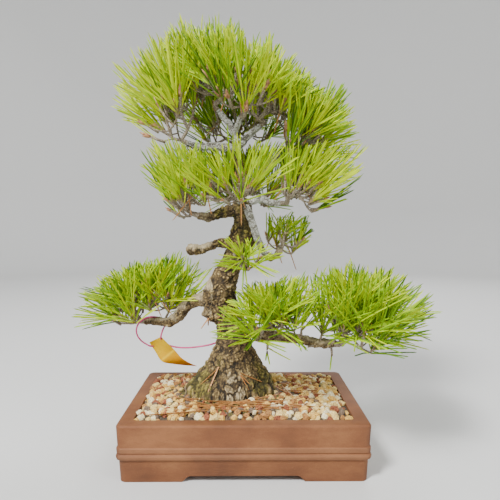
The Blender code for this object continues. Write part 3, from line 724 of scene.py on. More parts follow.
def many_of(name, corners, faces, tones):
    """A piece of many like shapes, from each corner's places, one shape's triangles and their finishes."""
    points = np.stack(corners, axis=1)
    starts = np.arange(len(points)) * points.shape[1]
    triangles = np.array(faces) + starts[:, None, None]
    return piece_of(name, points.reshape(-1, 3), triangles.reshape(-1, 3), np.repeat(tones, len(faces)))


def three_sided(rings):
    """The triangles between the rings of a three-sided shape."""
    faces = []
    for low in range(0, 3 * rings - 3, 3):
        for start, end in ((low, low + 1), (low + 1, low + 2), (low + 2, low)):
            faces += [(start, end, end + 3), (start, end + 3, start + 3)]
    return faces


def tubes(name, paths, sides):
    """A mesh of round lengths, each along rows of x, y, z and radius, with closed ends."""
    curve = bpy.data.curves.new(name, "CURVE")
    curve.dimensions = "3D"
    curve.bevel_depth = 1.0
    curve.bevel_resolution = (sides - 4) // 2
    curve.use_fill_caps = True
    for path in paths:
        spline = curve.splines.new("POLY")
        spline.points.add(len(path) - 1)
        spline.points.foreach_set("co", [part for row in path for part in (*row[:3], 1.0)])
        spline.points.foreach_set("radius", [row[3] for row in path])
    thing = put(name, curve)
    pick(thing)
    bpy.ops.object.convert(target="MESH")
    merge_points(thing, 0.00001)
    bpy.ops.object.shade_smooth()
    return thing


def pot_cutter(half_width, along_y):
    """A bar with sloped, softened shoulders that lifts the pot's underside between its feet."""
    bar = begin(bpy.ops.mesh.primitive_cube_add, "foot_bar", size=1.0)
    across, length = 2 * half_width, 2 * POT_LENGTH
    size = (across, length, 2 * FOOT_HEIGHT) if along_y else (length, across, 2 * FOOT_HEIGHT)
    bpy.ops.transform.resize(value=size)
    for side in (-1.0, 1.0):
        select_points(bar, lambda point: point.z * side > 0.0)
        scale = 1.0 - side * CUT_SLOPE / half_width
        bpy.ops.transform.resize(value=(scale, 1.0, 1.0) if along_y else (1.0, scale, 1.0))
    bpy.ops.object.mode_set(mode="OBJECT")
    modify(bar, "BEVEL", width=SHOULDER_SOFTENING, segments=4)
    return bar


def model_pot():
    """The rectangular tray, drawn up ring by ring, with its belt, flat rim and four feet."""
    half_x, half_y = POT_LENGTH / 2, POT_DEPTH / 2
    pot = begin(bpy.ops.mesh.primitive_plane_add, "clay_pot", size=2.0)
    height, inset = POT_OUTSIDE[0]
    bpy.ops.transform.resize(value=(half_x - inset, half_y - inset, 1.0))
    bpy.ops.mesh.bevel(offset=POT_CORNER, segments=7, affect="VERTICES")
    bpy.ops.mesh.select_all(action="SELECT")
    rim = (POT_HEIGHT, RIM_WIDTH)
    floor = (POT_HEIGHT - CAVITY_DEPTH, RIM_WIDTH + WALL_TAPER)
    for level, step in (*POT_OUTSIDE[1:], rim, floor):
        bpy.ops.mesh.extrude_region_move(TRANSFORM_OT_translate={"value": (0.0, 0.0, level - height)})
        scale = (half_x - step) / (half_x - inset), (half_y - step) / (half_y - inset), 1.0
        bpy.ops.transform.resize(value=scale)
        height, inset = level, step
    bpy.ops.mesh.select_all(action="SELECT")
    bpy.ops.mesh.normals_make_consistent(inside=False)
    bpy.ops.object.mode_set(mode="OBJECT")
    for half_width, along_y in ((FRONT_CUT_HALF, True), (SIDE_CUT_HALF, False)):
        bar = pot_cutter(half_width, along_y)
        modify(pot, "BOOLEAN", operation="DIFFERENCE", object=bar)
        bpy.data.objects.remove(bar)
    modify(pot, "BEVEL", width=EDGE_SOFTENING, segments=3, limit_method="ANGLE", angle_limit=math.radians(25))
    bpy.ops.object.shade_smooth_by_angle(angle=math.radians(35))
    # Marks the points on the belt's ridges, which the finish lightens as a painted highlight.
    worn = []
    for vert in pot.data.vertices:
        inset = min(half_x - abs(vert.co.x), half_y - abs(vert.co.y))
        worn.append(float(inset < RIDGE_INSET and any(low < vert.co.z < high for low, high in RIDGES)))
    carry(pot, "worn", worn)
    return pot


def bed_height(x, y):
    """The gravel's level: mounded from the pot's wall up to the trunk's foot."""
    reach = math.hypot(x - FOOT_X, y)
    if reach <= PAD_RADIUS:
        return SOIL_TOP
    to_x, to_y = (x - FOOT_X) / reach, y / reach
    wall_x = (math.copysign(BED_HALF_X, to_x) - FOOT_X) / to_x if abs(to_x) > 1e-6 else math.inf
    wall_y = BED_HALF_Y / abs(to_y) if abs(to_y) > 1e-6 else math.inf
    wall = min(wall_x, wall_y)
    share = held((wall - reach) / (wall - PAD_RADIUS))
    return SOIL_AT_WALL + (SOIL_TOP - SOIL_AT_WALL) * math.sin(share * math.pi / 2)


def stone_shapes():
    """A few rough stones, each about 1 across, as points and triangles."""
    shapes = []
    for seed in range(STONE_SHAPES):
        stone = begin(bpy.ops.mesh.primitive_cube_add, "stone", size=1.0)
        bpy.ops.mesh.subdivide(number_cuts=1)
        bpy.ops.transform.tosphere(value=0.62)
        bpy.ops.transform.vertex_random(offset=0.13, seed=seed)
        bpy.ops.mesh.quads_convert_to_tris()
        bpy.ops.object.mode_set(mode="OBJECT")
        points = np.array([vert.co for vert in stone.data.vertices])
        triangles = np.array([tuple(face.vertices) for face in stone.data.polygons])
        shapes.append((points, triangles))
        bpy.data.objects.remove(stone)
    return shapes


def turned(rng):
    """A random turn, as a 3 by 3 array."""
    axis = Vector(rng.normal(size=3)).normalized()
    return np.array(axis.to_track_quat("Z", "Y").to_matrix()) @ np.array(
        Vector((1.0, rng.normal(), 0.0)).normalized().to_track_quat("X", "Z").to_matrix()
    )


def lay_gravel():
    """Beds of stones over the soil, thinning into dark mossy crumbs round the trunk's foot; the under bed's
    dark stones are painted shade in the gaps between the top stones.
    """
    rng = np.random.default_rng(11)
    shapes = stone_shapes()
    points, triangles, finishes = [], [], []
    total = 0
    for bed, (spacing, size, sink, odds) in BEDS.items():
        rows = range(int(2 * BED_HALF_Y / (spacing * ROW_SHARE)) + 1)
        columns = range(int(2 * BED_HALF_X / spacing) + 1)
        for row, column in itertools.product(rows, columns):
            x = (column + 0.5 * (row % 2) + rng.uniform(-STRAY, STRAY)) * spacing - BED_HALF_X
            y = (row * ROW_SHARE + rng.uniform(-STRAY, STRAY)) * spacing - BED_HALF_Y
            across = size * rng.uniform(0.62, 1.20)
            if abs(x) > BED_HALF_X - across * 0.42 or abs(y) > BED_HALF_Y - across * 0.42:
                continue
            near = math.hypot((x - FOOT_X) / FOOT_HALF_X, y / FOOT_HALF_Y)
            damp = near < 1.10 + 0.28 * (y < 0.0 and x < 0.045) + 0.28 * rng.random()
            skipped = rng.random() < (0.75 if damp and bed == "top" else 0.22)
            if near < 0.93 or skipped or (bed == "crumbs" and not damp):
                continue
            shape, faces = shapes[rng.integers(len(shapes))]
            form = shape * (across * rng.uniform(0.70, 1.2, 3)) @ turned(rng).T
            form = form + (x, y, bed_height(x, y) - sink + rng.uniform(-1, 1) * UNEVEN)
            points.append(form)
            triangles.append(faces + total)
            total += len(form)
            finishes.append(np.full(len(faces), rng.choice(len(odds), p=odds)))
    return piece_of("gravel", *map(np.concatenate, (points, triangles, finishes)))


def smooth_path(points, steps):
    """A smooth curve through rows of numbers, with `steps` rows for each stretch (Catmull-Rom)."""
    rows = [points[0], *points, points[-1]]
    found = []
    for stretch in zip(rows, rows[1:], rows[2:], rows[3:]):
        for step in range(steps):
            t = step / steps
            found.append(tuple(
                b + 0.5 * t * (c - a + t * (2 * a - 5 * b + 4 * c - d + t * (3 * (b - c) + d - a)))
                for a, b, c, d in zip(*stretch)
            ))
    found.append(tuple(points[-1]))
    return found


def copy_of(node):
    """A copy of a CAD solid, with its loose triangles merged."""
    thing = put(node + "_form", frame["nodes"][node].data.copy())
    merge_points(thing, 0.00002)
    return thing


def trunk_path():
    """The trunk's middle and reach, level by level, read off its solid."""
    levels = {}
    for vert in frame["nodes"]["trunk"].data.vertices:
        levels.setdefault(round(vert.co.z, 4), []).append(vert.co)
    path = []
    for height in sorted(levels):
        ring = levels[height]
        middle = sum(ring, Vector()) / len(ring)
        path.append((middle.x, middle.y, height, max((point - middle).length for point in ring)))
    return path


def limb_form(name):
    """One limb as a round tapering length, with what the smoothing takes off added."""
    rows = smooth_path(LIMBS[name], 4)
    return tubes(name, [[(*row[:3], row[3] + SMOOTHING_LOSS) for row in rows]], 10)


def grow_wood(name, forms, square, rounding):
    """Fuses limbs into one skin with soft joints."""
    pick(*forms)
    bpy.ops.object.join()
    wood = forms[0]
    wood.name = name
    wood.data.materials.clear()
    modify(wood, "REMESH", mode="VOXEL", voxel_size=square)
    modify(wood, "SMOOTH", factor=0.5, iterations=rounding)
    bpy.ops.object.shade_smooth()
    return wood


def carry(piece, name, values):
    """Stores a number on each point of a piece, for its finish to read."""
    layer = piece.data.attributes.new(name, "FLOAT", "POINT")
    layer.data.foreach_set("value", np.asarray(values, np.float32))


def reshape(piece, places, **carried):
    """Moves each point of a piece to its new place and stores its numbers."""
    piece.data.vertices.foreach_set("co", np.array(places, np.float32).ravel())
    for name, values in carried.items():
        carry(piece, name, values)
    piece.data.update()


def plates(point, size, stretch, narrow=0.42):
    """How high the bark stands at a point: 0 in a fissure, 1 on a plate."""
    place = Vector((point.x, point.y, point.z / stretch))
    place += noise.noise_vector(place * (0.5 / size)) * (size * 0.60)
    place += noise.noise_vector(place * (1.7 / size)) * (size * 0.30)
    near, _ = noise.voronoi(place / size)
    return min(1.0, (near[1] - near[0]) / narrow)


def flakes(point, scale, stretch):
    """Thin layers of bark that have flaked away by steps, from 0 to 1."""
    place = Vector((point.x, point.y, point.z / stretch)) * scale
    level = (0.5 + 0.55 * noise.fractal(place, 0.8, 2.0, 4)) * 4.0
    step = math.floor(level)
    return held((step + held((level - step) * 3.0)) / 4.0)


def carve_old_bark(wood):
    """Draws fissures, flaking plates and lumps into the old wood, and marks its moss, and its lichen together
    with a painted top light on the boughs.
    """
    relief, moss, lichen, moved = [], [], [], []
    for vert in wood.data.vertices:
        co, normal = vert.co.copy(), vert.normal.copy()
        low = held((FLARE_TOP - co.z) / 0.06)
        on_trunk = math.hypot(co.x + 0.015, co.y) < 0.030 + 0.035 * low
        depth = 1.0 if on_trunk else 0.55
        stretch = 1.0 + 2.8 * low
        crack = min(max(0.85 + noise.noise(co * 75.0 + Vector((0.0, 7.0, 2.0))), 0.35), 1.0)
        size = 0.0080 if on_trunk else 0.0056
        coarse, fine = plates(co, size, stretch, 0.20), plates(co, size * 0.42, stretch * 1.1, 0.45)
        plate = (1.0 - crack * (1.0 - coarse)) * (0.60 + 0.40 * fine)
        streak = noise.noise(Vector((co.x * 420.0, co.y * 420.0, co.z * 90.0)))
        lump = noise.noise(co * 62.0) + 0.6 * noise.noise(co * 150.0)
        crumbs = noise.fractal(co * 420.0, 0.9, 2.0, 3)
        stands = plate * (0.35 + 0.65 * flakes(co, 170.0, stretch))
        knob = 0.0 if on_trunk else max(noise.noise(co * 120.0), 0.0)
        out = (stands - 0.42) * 0.0030 * depth + lump * 0.0020 * depth + crumbs * 0.0004 + knob * 0.0030
        moved.append(co + normal * out)
        relief.append(held(0.14 + 0.66 * stands + 0.12 * lump + 0.14 * crumbs + 0.20 * low * streak))
        bearing = math.atan2(co.y, co.x + 0.016)
        front = math.exp(-((math.remainder(bearing + math.radians(84), 2 * math.pi)) / 0.55) ** 2)
        foot = held((MOSS_TOP - co.z) / 0.050)
        patch = 0.80 + 1.3 * noise.noise(co * 60.0 + Vector((3.0, 1.0, 0.0))) + 0.8 * noise.noise(co * 170.0)
        upper = held((co.z - CROWN_MOSS) / 0.03) * (0.50 if on_trunk else 0.0)
        moss.append(held((foot * (1.0 - 1.15 * front) + upper) * patch))
        # On the trunk's front plates this is grey lichen. On the boughs it grows with the upward face, partly
        # lichen and partly painted top light.
        pale = 1.5 * front * foot * stands if on_trunk else 0.50 + max(normal.z, 0.0)
        lichen.append(pale * (0.70 + 0.6 * noise.noise(co * 90.0)))
    reshape(wood, moved, relief=relief, moss=moss, lichen=lichen)


def carve_grey_bark(wood):
    """Roughens the younger wood with rings of old needle scars."""
    relief, moved = [], []
    for vert in wood.data.vertices:
        scar = plates(vert.co, 0.0030, 0.9)
        lump = noise.noise(vert.co * 150.0)
        knot = max(0.0, noise.noise(vert.co * 70.0) - 0.2)
        out = (scar - 0.5) * 0.0006 + lump * 0.0006 + knot * 0.0022
        moved.append(vert.co + vert.normal * out)
        relief.append(held(0.15 + 0.6 * scar + 0.25 * lump))
    reshape(wood, moved, relief=relief)


def outside(point, path):
    """How far a point lies outside a tube along rows of x, y, z and radius."""
    nearest = math.inf
    for start, end in zip(path, path[1:]):
        low, high = Vector(start[:3]), Vector(end[:3])
        stretch = high - low
        share = held((point - low).dot(stretch) / stretch.length_squared)
        radius = start[3] + (end[3] - start[3]) * share
        nearest = min(nearest, (point - low - stretch * share).length - radius)
    return nearest


def in_own_space(point, name):
    """Whether a point is nearer to this mass's spine than to any other's, and clear of every limb."""
    own = outside(point, SPINES[name]) + 2 * SPACE_MARGIN
    if any(outside(point, spine) < own for other, spine in SPINES.items() if other != name):
        return False
    return all(outside(point, path) > LIMB_MARGIN for path in PATHS.values())


def run_is_free(name, start, end, steps=NEEDLE_STEPS):
    """Whether a straight run keeps to the mass's own space, clear of the limbs."""
    return all(in_own_space(start.lerp(end, share), name) for share in steps)


def shoot_places(name, rng):
    """Where a mass's shoots end and which way they point, spread evenly over a low dome."""
    _, heart, spread, face, count, _ = MASSES[name]
    face = Vector(FACES.get(name, face)).normalized()
    across = (Vector((1.0, 0.0, 0.0)) - face * face.x).normalized()
    along = face.cross(across)
    turn = rng.uniform(0.0, 2 * math.pi)
    places = []
    for i in range(count):
        ring = math.sqrt((i + 0.5) / count)
        bearing = turn + i * GOLDEN_ANGLE
        outward = across * math.cos(bearing) + along * math.sin(bearing)
        offset = across * (spread[0] * math.cos(bearing)) + along * (spread[1] * math.sin(bearing))
        base = Vector(heart) + offset * ring + face * spread[2] * (1.0 - 2.0 * ring * ring)
        base += Vector([rng.uniform(-SHOOT_JITTER, SHOOT_JITTER) for _ in range(3)])
        aim = face + outward * OUTWARD_LEAN * ring + UP * UPWARD_LEAN
        places.append((base, aim.normalized()))
    return places


def grow_twigs(name, start, heading, places):
    """Joins each shoot to the nearest twig already grown, nearest shoots first.

    Returns the twigs' points, the point that each grows from, and the shoots that found a free way.
    """
    points = [start, start + heading * STEM_STUB]
    parents = [None, 0]
    forks = [1]
    kept = []
    for base, aim in sorted(places, key=lambda place: (place[0] - points[1]).length):
        order = sorted(
            forks, key=lambda i: (points[i] - base).length + FORK_RETREAT * (points[i] - start).length
        )
        for fork in order[:FORK_TRIES]:
            reach = base - points[fork]
            knee = points[fork] + reach * 0.5 - UP * (reach.length * TWIG_DROOP)
            if run_is_free(name, points[fork], knee, TWIG_STEPS) and run_is_free(name, knee, base):
                points += [knee, base]
                parents += [fork, len(points) - 2]
                forks.append(len(points) - 2)
                kept.append((base, aim, len(points) - 1))
                break
    return points, parents, kept


def twig_radii(points, parents, kept, widest):
    """Radius at each point, from how many shoots it carries."""
    carried = [0] * len(points)
    for _, _, tip in kept:
        at = tip
        while at is not None:
            carried[at] += 1
            at = parents[at]
    return [min(TWIG_RADIUS * max(count, 1) ** TWIG_TAPER, widest) for count in carried]


def side_shoots(base, aim, knee, radius, rng):
    """Finer twigs that leave a twig below its tip: their paths, and the shoots at their ends."""
    along = (base - knee).normalized()
    across = aim.orthogonal().normalized()
    over = aim.cross(across)
    turn = rng.uniform(0.0, 2 * math.pi)
    paths, shoots = [], []
    for i in range(SIDE_SHOOTS):
        bearing = turn + i * 2 * math.pi / SIDE_SHOOTS + rng.uniform(-0.5, 0.5)
        side = across * math.cos(bearing) + over * math.sin(bearing)
        root = base - along * rng.uniform(0.008, 0.020)
        way = (aim * 0.9 + side * 0.8).normalized()
        end = root + way * rng.uniform(0.016, 0.024)
        middle = root.lerp(end, 0.5) + (side - aim * 0.4) * 0.002
        paths.append([(*root, radius * 0.8), (*middle, radius * 0.75), (*end, radius * 0.9)])
        shoots.append((end, (aim + side * 0.45 + UP * 0.2).normalized()))
    return paths, shoots


def woody_tip(base, aim):
    """The thicker scaly length of a twig that its needles stand on."""
    return [
        (*(base - aim * SHOOT_LENGTH * 0.5), 0.0015), (*base, 0.0019),
        (*(base + aim * SHOOT_LENGTH * 0.4), 0.0019), (*(base + aim * SHOOT_LENGTH * 0.62), 0.0008),
    ]


def spray_rows(base, aim, pairs, length, widest, rng):
    """The needle pairs round one shoot: their roots, ways, bends, lengths and flat sides."""
    across = np.array(aim.orthogonal().normalized())
    aim = np.array(aim)
    over = np.cross(aim, across)
    steps = (np.arange(pairs) + 0.5) / pairs
    turn = np.arange(pairs) * GOLDEN_ANGLE + rng.uniform(0.0, 2 * math.pi)
    lean = np.radians(NARROWEST_LEAN + (widest - NARROWEST_LEAN) * steps ** 0.8)
    lean += rng.normal(0.0, 0.10, pairs)
    side = across * np.cos(turn)[:, None] + over * np.sin(turn)[:, None]
    way = aim * np.cos(lean)[:, None] + side * np.sin(lean)[:, None]
    root = np.array(base) + aim * (SHOOT_LENGTH * (0.55 - 0.62 * steps))[:, None] + side * 0.0010
    split = unit(np.cross(way, side))
    reach = length * LENGTHENED * rng.uniform(0.84, 1.0, pairs) * rng.uniform(0.90, 1.04)
    rows = []
    for half in (-1.0, 1.0):
        fork = unit(way + split * half * rng.uniform(0.03, 0.10, pairs)[:, None])
        bend = side * 0.03 - np.array(UP) * 0.035 + rng.normal(0.0, 0.022, (pairs, 3))
        rows.append((root, fork, bend, reach * rng.uniform(0.94, 1.0, pairs), split))
    return [np.concatenate(parts) for parts in zip(*rows)]


def clear_of_wood(points):
    """Which of many points lie outside every limb."""
    nearest = np.full(len(points), np.inf)
    for (*start, low_radius), (*end, high_radius) in STRETCHES:
        start, end = np.array(start), np.array(end)
        stretch = end - start
        share = np.clip((points - start) @ stretch / (stretch @ stretch), 0.0, 1.0)
        gap = np.linalg.norm(points - start - share[:, None] * stretch, axis=1)
        nearest = np.minimum(nearest, gap - low_radius - (high_radius - low_radius) * share)
    return nearest > WOOD_MARGIN


def seen_inside(points, slack, name):
    """Which points the front view shows inside a tier's outline, drawn in by each needle's slack."""
    outline, heart = OUTLINES[name], MASSES[name][1]
    share = EYE[1] / (EYE[1] - points[:, 1])
    x = EYE[0] + (points[:, 0] - EYE[0]) * share
    z = EYE[2] + (points[:, 2] - EYE[2]) * share
    middle_x, middle_z = np.mean(outline, axis=0)
    bearing = np.arctan2(z - middle_z, x - middle_x)
    slack = slack + VALLEYS * np.clip(np.sin(bearing * 21.0) + 0.7 * np.sin(bearing * 37.0 + 1.0), 0.0, 1.0)
    x, z = x + (x - heart[0]) * slack, z + (z - heart[2]) * slack
    inside = np.zeros(len(points), bool)
    for (low_x, low_z), (high_x, high_z) in zip(outline, outline[1:] + outline[:1]):
        if low_z != high_z:
            passes = (low_z > z) != (high_z > z)
            inside ^= passes & (x < low_x + (z - low_z) * (high_x - low_x) / (high_z - low_z))
    return inside


def within_reach(name, root, way, bend, reach, slack, margin):
    """Shortens the needles that would pass their mass's solid or outline, and says which then keep inside."""
    points = np.array([vert.co for vert in frame["nodes"][name].data.vertices])
    low, high = points.min(axis=0) - margin, points.max(axis=0) + margin
    low = np.maximum(low, CAD_BOX[0])
    high = np.minimum(high, CAD_BOX[1])
    for _ in range(SHORTENINGS):
        tip = root + (way + bend) * reach[:, None]
        over = ((tip < low) | (tip > high)).any(axis=1) | ~seen_inside(tip, slack, name)
        reach = np.where(over, reach * SHORTENED, reach)
    return reach, ~over


def part_way(root, way, bend, reach, share):
    """Where each needle is at a share of its length."""
    return root + way * (reach * share)[:, None] + bend * (reach * share * share)[:, None]


def needle_mesh(name, root, way, bend, reach, flat, tones):
    """All the needles of one mass: slim three-sided blades that bend a little and end in a point."""
    thick = np.cross(way, flat)
    rings = []
    for share, width in NEEDLE_RINGS:
        middle = part_way(root, way, bend, reach, share)
        half = flat * (NEEDLE_WIDTH / 2 * width)
        rings += [middle - half, middle + half, middle + thick * (NEEDLE_DEPTH * width)]
    rings.append(root + (way + bend) * reach[:, None])
    return many_of(name, rings, three_sided(3) + [(6, 7, 9), (7, 8, 9), (8, 6, 9)], tones)


def prisms(name, root, way, length, radius):
    """Short three-sided pegs, all of one kind."""
    side = unit(np.cross(way, np.array([0.31, 0.83, 0.46])))
    over = np.cross(way, side)
    rings = []
    for along, width in ((-0.0005, 1.0), (length, 0.8)):
        for i in range(3):
            angle = i * 2 * math.pi / 3
            out = side * math.cos(angle) + over * math.sin(angle)
            rings.append(root + way * along + out * radius * width)
    return many_of(name, rings, three_sided(2) + [(3, 4, 5)], np.zeros(len(root), int))


def grow_mass(name, seed, greens):
    """A mass's twigs, and its needles dealt into greens spray by spray."""
    places_rng = random.Random(seed)
    rng = np.random.default_rng(seed)
    limb, _, _, _, _, length = MASSES[name]
    end, before = Vector(PATHS[limb][-1][:3]), Vector(PATHS[limb][-2][:3])
    heading = (end - before).normalized()
    widest = PATHS[limb][-1][3]
    on_tip, on_side = SPARSE.get(name, PAIRS)
    deepest = LOW_GAP if end.z < LOW_MASSES_END else DEEPEST_GAP
    points, parents, kept = grow_twigs(name, end + heading * GAP, heading, shoot_places(name, places_rng))
    radii = twig_radii(points, parents, kept, widest)
    paths = [[(*before, widest), (*end, widest), (*points[1], max(radii[1], widest * 0.8))]]
    sprays = []
    for base, aim, tip in kept:
        knee, fork = parents[tip], parents[parents[tip]]
        path = smooth_path(
            [(*points[fork], radii[knee] * 1.1), (*points[knee], radii[knee]), (*points[tip], radii[tip])], 4
        )
        paths.append(path + woody_tip(base, aim)[2:])
        sprays.append((base, aim, on_tip, length, False))
        if name in LONE_TUFTS:
            continue
        finer, shoots = side_shoots(base, aim, points[knee], TWIG_RADIUS, places_rng)
        paths += finer
        for side_base, side_aim in shoots:
            paths.append(woody_tip(side_base, side_aim))
            sprays.append((side_base, side_aim, on_side, length * SIDE_SHARE, False))
    for root, way, pairs, reach in LONE_SHOOTS.get(name, ()):
        root, way = Vector(in_metres(root)[0]), Vector(way).normalized()
        paths.append([(*(root + way * along), thick) for along, thick in LONE_STALK])
        sprays.append((root + way * SHOOT_LENGTH * 0.45, way, pairs, reach / 1000, True))
    gathered = []
    for base, aim, pairs, reach, alone in sprays:
        risen = not alone and end.z > CROWN_START and rng.random() < RISEN_SHARE
        widest = RISEN_LEAN if risen else OPEN_TUFTS.get(name, WIDEST_LEAN)
        rows = spray_rows(base, aim, pairs, reach * (RISEN_LENGTH if risen else 1.0), widest, rng)
        drift = rng.choice((-1, 0, 0, 1), 2 * pairs)
        tones = np.clip(rng.choice(len(greens), p=greens) + drift, 0, len(greens) - 1)
        drawn_in = 0.0 if alone or risen else deepest * (0.25 + 0.75 * rng.random() ** 1.4)
        slack = drawn_in + rng.normal(0.0, 0.03, 2 * pairs)
        first = np.arange(2 * pairs) < pairs
        gathered.append((*rows, tones, slack, np.full(2 * pairs, alone), first))
    root, way, bend, reach, flat, tones, slack, lone, first = map(np.concatenate, zip(*gathered))
    margin = np.where(lone, LONE_MARGIN, REACH_MARGIN)[:, None]
    reach, free = within_reach(name, root, way, bend, reach, slack, margin)
    free &= lone | (way[:, 2] > LOWEST_IN.get(name, LOWEST_NEEDLE))
    for share in (0.3, 0.65, 1.0):
        free &= clear_of_wood(part_way(root, way, bend, reach, share))
    rows = [part[free] for part in (root, way, bend, reach, flat, tones)]
    needles = needle_mesh(name.replace("_needles", "_sprays"), *rows)
    tips = [spray[:2] for spray in sprays if not spray[4]]
    return needles, paths, (root[first & free], way[first & free]), tips


def buds(shoots):
    """Brown pointed buds on the shoots' tips, larger at the top of the tree."""
    paths = []
    for base, aim in shoots:
        foot = base + aim * SHOOT_LENGTH * 0.5
        full = 1.0 if base.z > TOP_START else 0.62
        aside = aim.orthogonal().normalized() * 0.5
        for way, size in ((aim.normalized(), full), ((aim + aside).normalized(), 0.75 * full)):
            paths.append([
                (*foot, 0.0016 * size), (*(foot + way * 0.004 * size), 0.0026 * size),
                (*(foot + way * 0.010 * size), 0.0020 * size), (*(foot + way * 0.0150 * size), 0.0003),
            ])
    return tubes("buds", paths, 6)


def laid_on(wood, start, end):
    """Where a needle rests on the wood, from its ends as the front view shows them on the middle plane."""
    hits = []
    for share in (0.0, 0.5, 1.0):
        seen = Vector((start[0] + (end[0] - start[0]) * share, 0.0, start[1] + (end[1] - start[1]) * share))
        _, place, normal, _ = wood.ray_cast(Vector(EYE), (seen - Vector(EYE)).normalized())
        hits.append(place)
    lift = max((hits[1] - (hits[0] + hits[2]) / 2).dot(normal), 0.0) + 0.0012
    return hits[0] + normal * lift, hits[2] + normal * lift


def dead_needles(shoots, wood):
    """Old orange-brown needles: some lie on the gravel and the roots, some hang in the tree."""
    rng = np.random.default_rng(3)
    runs = [laid_on(wood, start, end) for start, end in ON_ROOTS]
    runs += [(Vector(start), Vector(end)) for start, end in CAUGHT]
    for _ in range(UNDER_KNOB):
        level = Vector((-0.2, rng.uniform(-0.014, 0.006), rng.uniform(0.168, 0.182)))
        _, place, _, _ = wood.ray_cast(level, Vector((1.0, 0.0, 0.0)))
        hang = Vector((rng.uniform(-0.012, 0.006), rng.normal(0, 0.008), rng.uniform(-0.014, -0.003)))
        runs.append((place, place + hang))
    found = []
    for start, end in runs:
        run = end - start
        found.append((np.array(start), np.array(run.normalized()), rng.normal(0, 0.015, 3), run.length))
    for _ in range(ON_GRAVEL):
        crowded = rng.random() < 0.45
        x = rng.normal(-0.016, 0.040) if crowded else rng.uniform(-0.118, 0.118)
        y = rng.normal(-0.066, 0.012) if crowded else rng.uniform(-0.078, 0.078)
        x, y = min(max(x, -0.120), 0.120), min(max(y, -0.080), 0.080)
        bearing = rng.normal(0.10, 0.50) if crowded else rng.uniform(0, math.pi)
        if rng.random() < 0.5:
            bearing += math.pi
        size = rng.uniform(0.045, 0.080)
        end_x, end_y = x + math.cos(bearing) * size, y + math.sin(bearing) * size
        ends = (x, y), (end_x, end_y)
        wide, deep = CLEAR_OF_FOOT
        by_trunk = any(math.hypot((x - FOOT_X) / wide, y / deep) < 1 for x, y in ends)
        if by_trunk or abs(end_x) > FALLEN_X or abs(end_y) > FALLEN_Y:
            continue
        start, end = [np.array((x, y, bed_height(x, y) + rng.uniform(0.0030, 0.0048))) for x, y in ends]
        length = np.linalg.norm(end - start)
        found.append((start, (end - start) / length, rng.normal(0, 0.02, 3) * (1, 1, 0.1), length))
    for index in rng.choice(len(shoots), LODGED, replace=False):
        side = rng.normal(size=3)
        down = side / np.linalg.norm(side) * 0.7 - np.array(UP)
        down /= np.linalg.norm(down)
        length = rng.uniform(0.030, 0.050)
        start = np.array(shoots[index][0]) - down * length * rng.uniform(0.35, 0.7)
        found.append((start, down, rng.normal(0, 0.03, 3), length))
    root, way, bend, reach = map(np.array, zip(*found))
    across = unit(np.cross(way, (0.2, 0.1, 1.0)))
    return needle_mesh("dead_needles", root, way, bend, reach, across, np.zeros(len(root), int))


def model_tag():
    """The blank hang tag: a creased strip that curls away, with soft thin edges."""
    rows = smooth_path([(*middle, *half) for middle, half in TAG], 5)
    last = len(rows) - 1
    tag = begin(bpy.ops.mesh.primitive_grid_add, "hang_tag", x_subdivisions=4, y_subdivisions=last, size=2.0)
    bpy.ops.object.mode_set(mode="OBJECT")
    curl = []
    for vert in tag.data.vertices:
        place = min(int(round((vert.co.y + 1.0) / 2.0 * last)), last)
        curl.append(place / last)
        vert.co = Vector(rows[place][:3]) + Vector(rows[place][3:]) * vert.co.x
    carry(tag, "curl", curl)
    modify(tag, "SOLIDIFY", thickness=TAG_THICKNESS * 0.6, offset=0.0)
    modify(tag, "BEVEL", width=0.0002, segments=2, limit_method="ANGLE")
    bpy.ops.object.shade_smooth_by_angle(angle=math.radians(40))
    return tag


def set_stage():
    """A pale floor that sweeps up into a wall all round, and soft light."""
    circle = bpy.ops.mesh.primitive_circle_add
    floor = begin(circle, "floor", vertices=128, radius=FLOOR_RADIUS, fill_type="NGON")
    bpy.ops.mesh.region_to_loop()
    radius, height = FLOOR_RADIUS, 0.0
    for step in range(1, SWEEP_STEPS + 1):
        angle = step / SWEEP_STEPS * math.pi / 2
        wider, higher = FLOOR_RADIUS + SWEEP * math.sin(angle), SWEEP * (1 - math.cos(angle))
        bpy.ops.mesh.extrude_edges_move(TRANSFORM_OT_translate={"value": (0.0, 0.0, higher - height)})
        bpy.ops.transform.resize(value=(wider / radius, wider / radius, 1.0))
        radius, height = wider, higher
    bpy.ops.mesh.extrude_edges_move(TRANSFORM_OT_translate={"value": (0.0, 0.0, WALL_HEIGHT)})
    bpy.ops.object.mode_set(mode="OBJECT")
    bpy.ops.object.shade_smooth_by_angle(angle=math.radians(40))
    floor.data.materials.append(Finish("pale_paper").coat(Base_Color=(0.62, 0.62, 0.61), Roughness=0.9))
    world = bpy.data.worlds.new("studio")
    bpy.context.scene.world = world
    world.use_nodes = True
    background = world.node_tree.nodes["Background"]
    background.inputs["Color"].default_value = (0.95, 0.97, 1.0, 1.0)
    background.inputs["Strength"].default_value = SKY
    for name, (place, size, power) in LAMPS.items():
        lamp = bpy.data.lights.new(name, "AREA")
        lamp.shape = "DISK"
        lamp.size = size
        lamp.energy = power
        light = put(name, lamp)
        light.location = place
        light.rotation_euler = (Vector(LIT) - Vector(place)).to_track_quat("-Z", "Y").to_euler()


def set_camera():
    """Looks from where the photograph was taken."""
    camera = put("camera", bpy.data.cameras.new("camera"))
    camera.location = EYE
    camera.rotation_euler = [math.radians(part) for part in EYE_TURN]
    camera.data.lens = LENS
    camera.data.sensor_width = LENS
    camera.data.clip_start = 0.01
    bpy.context.scene.camera = camera


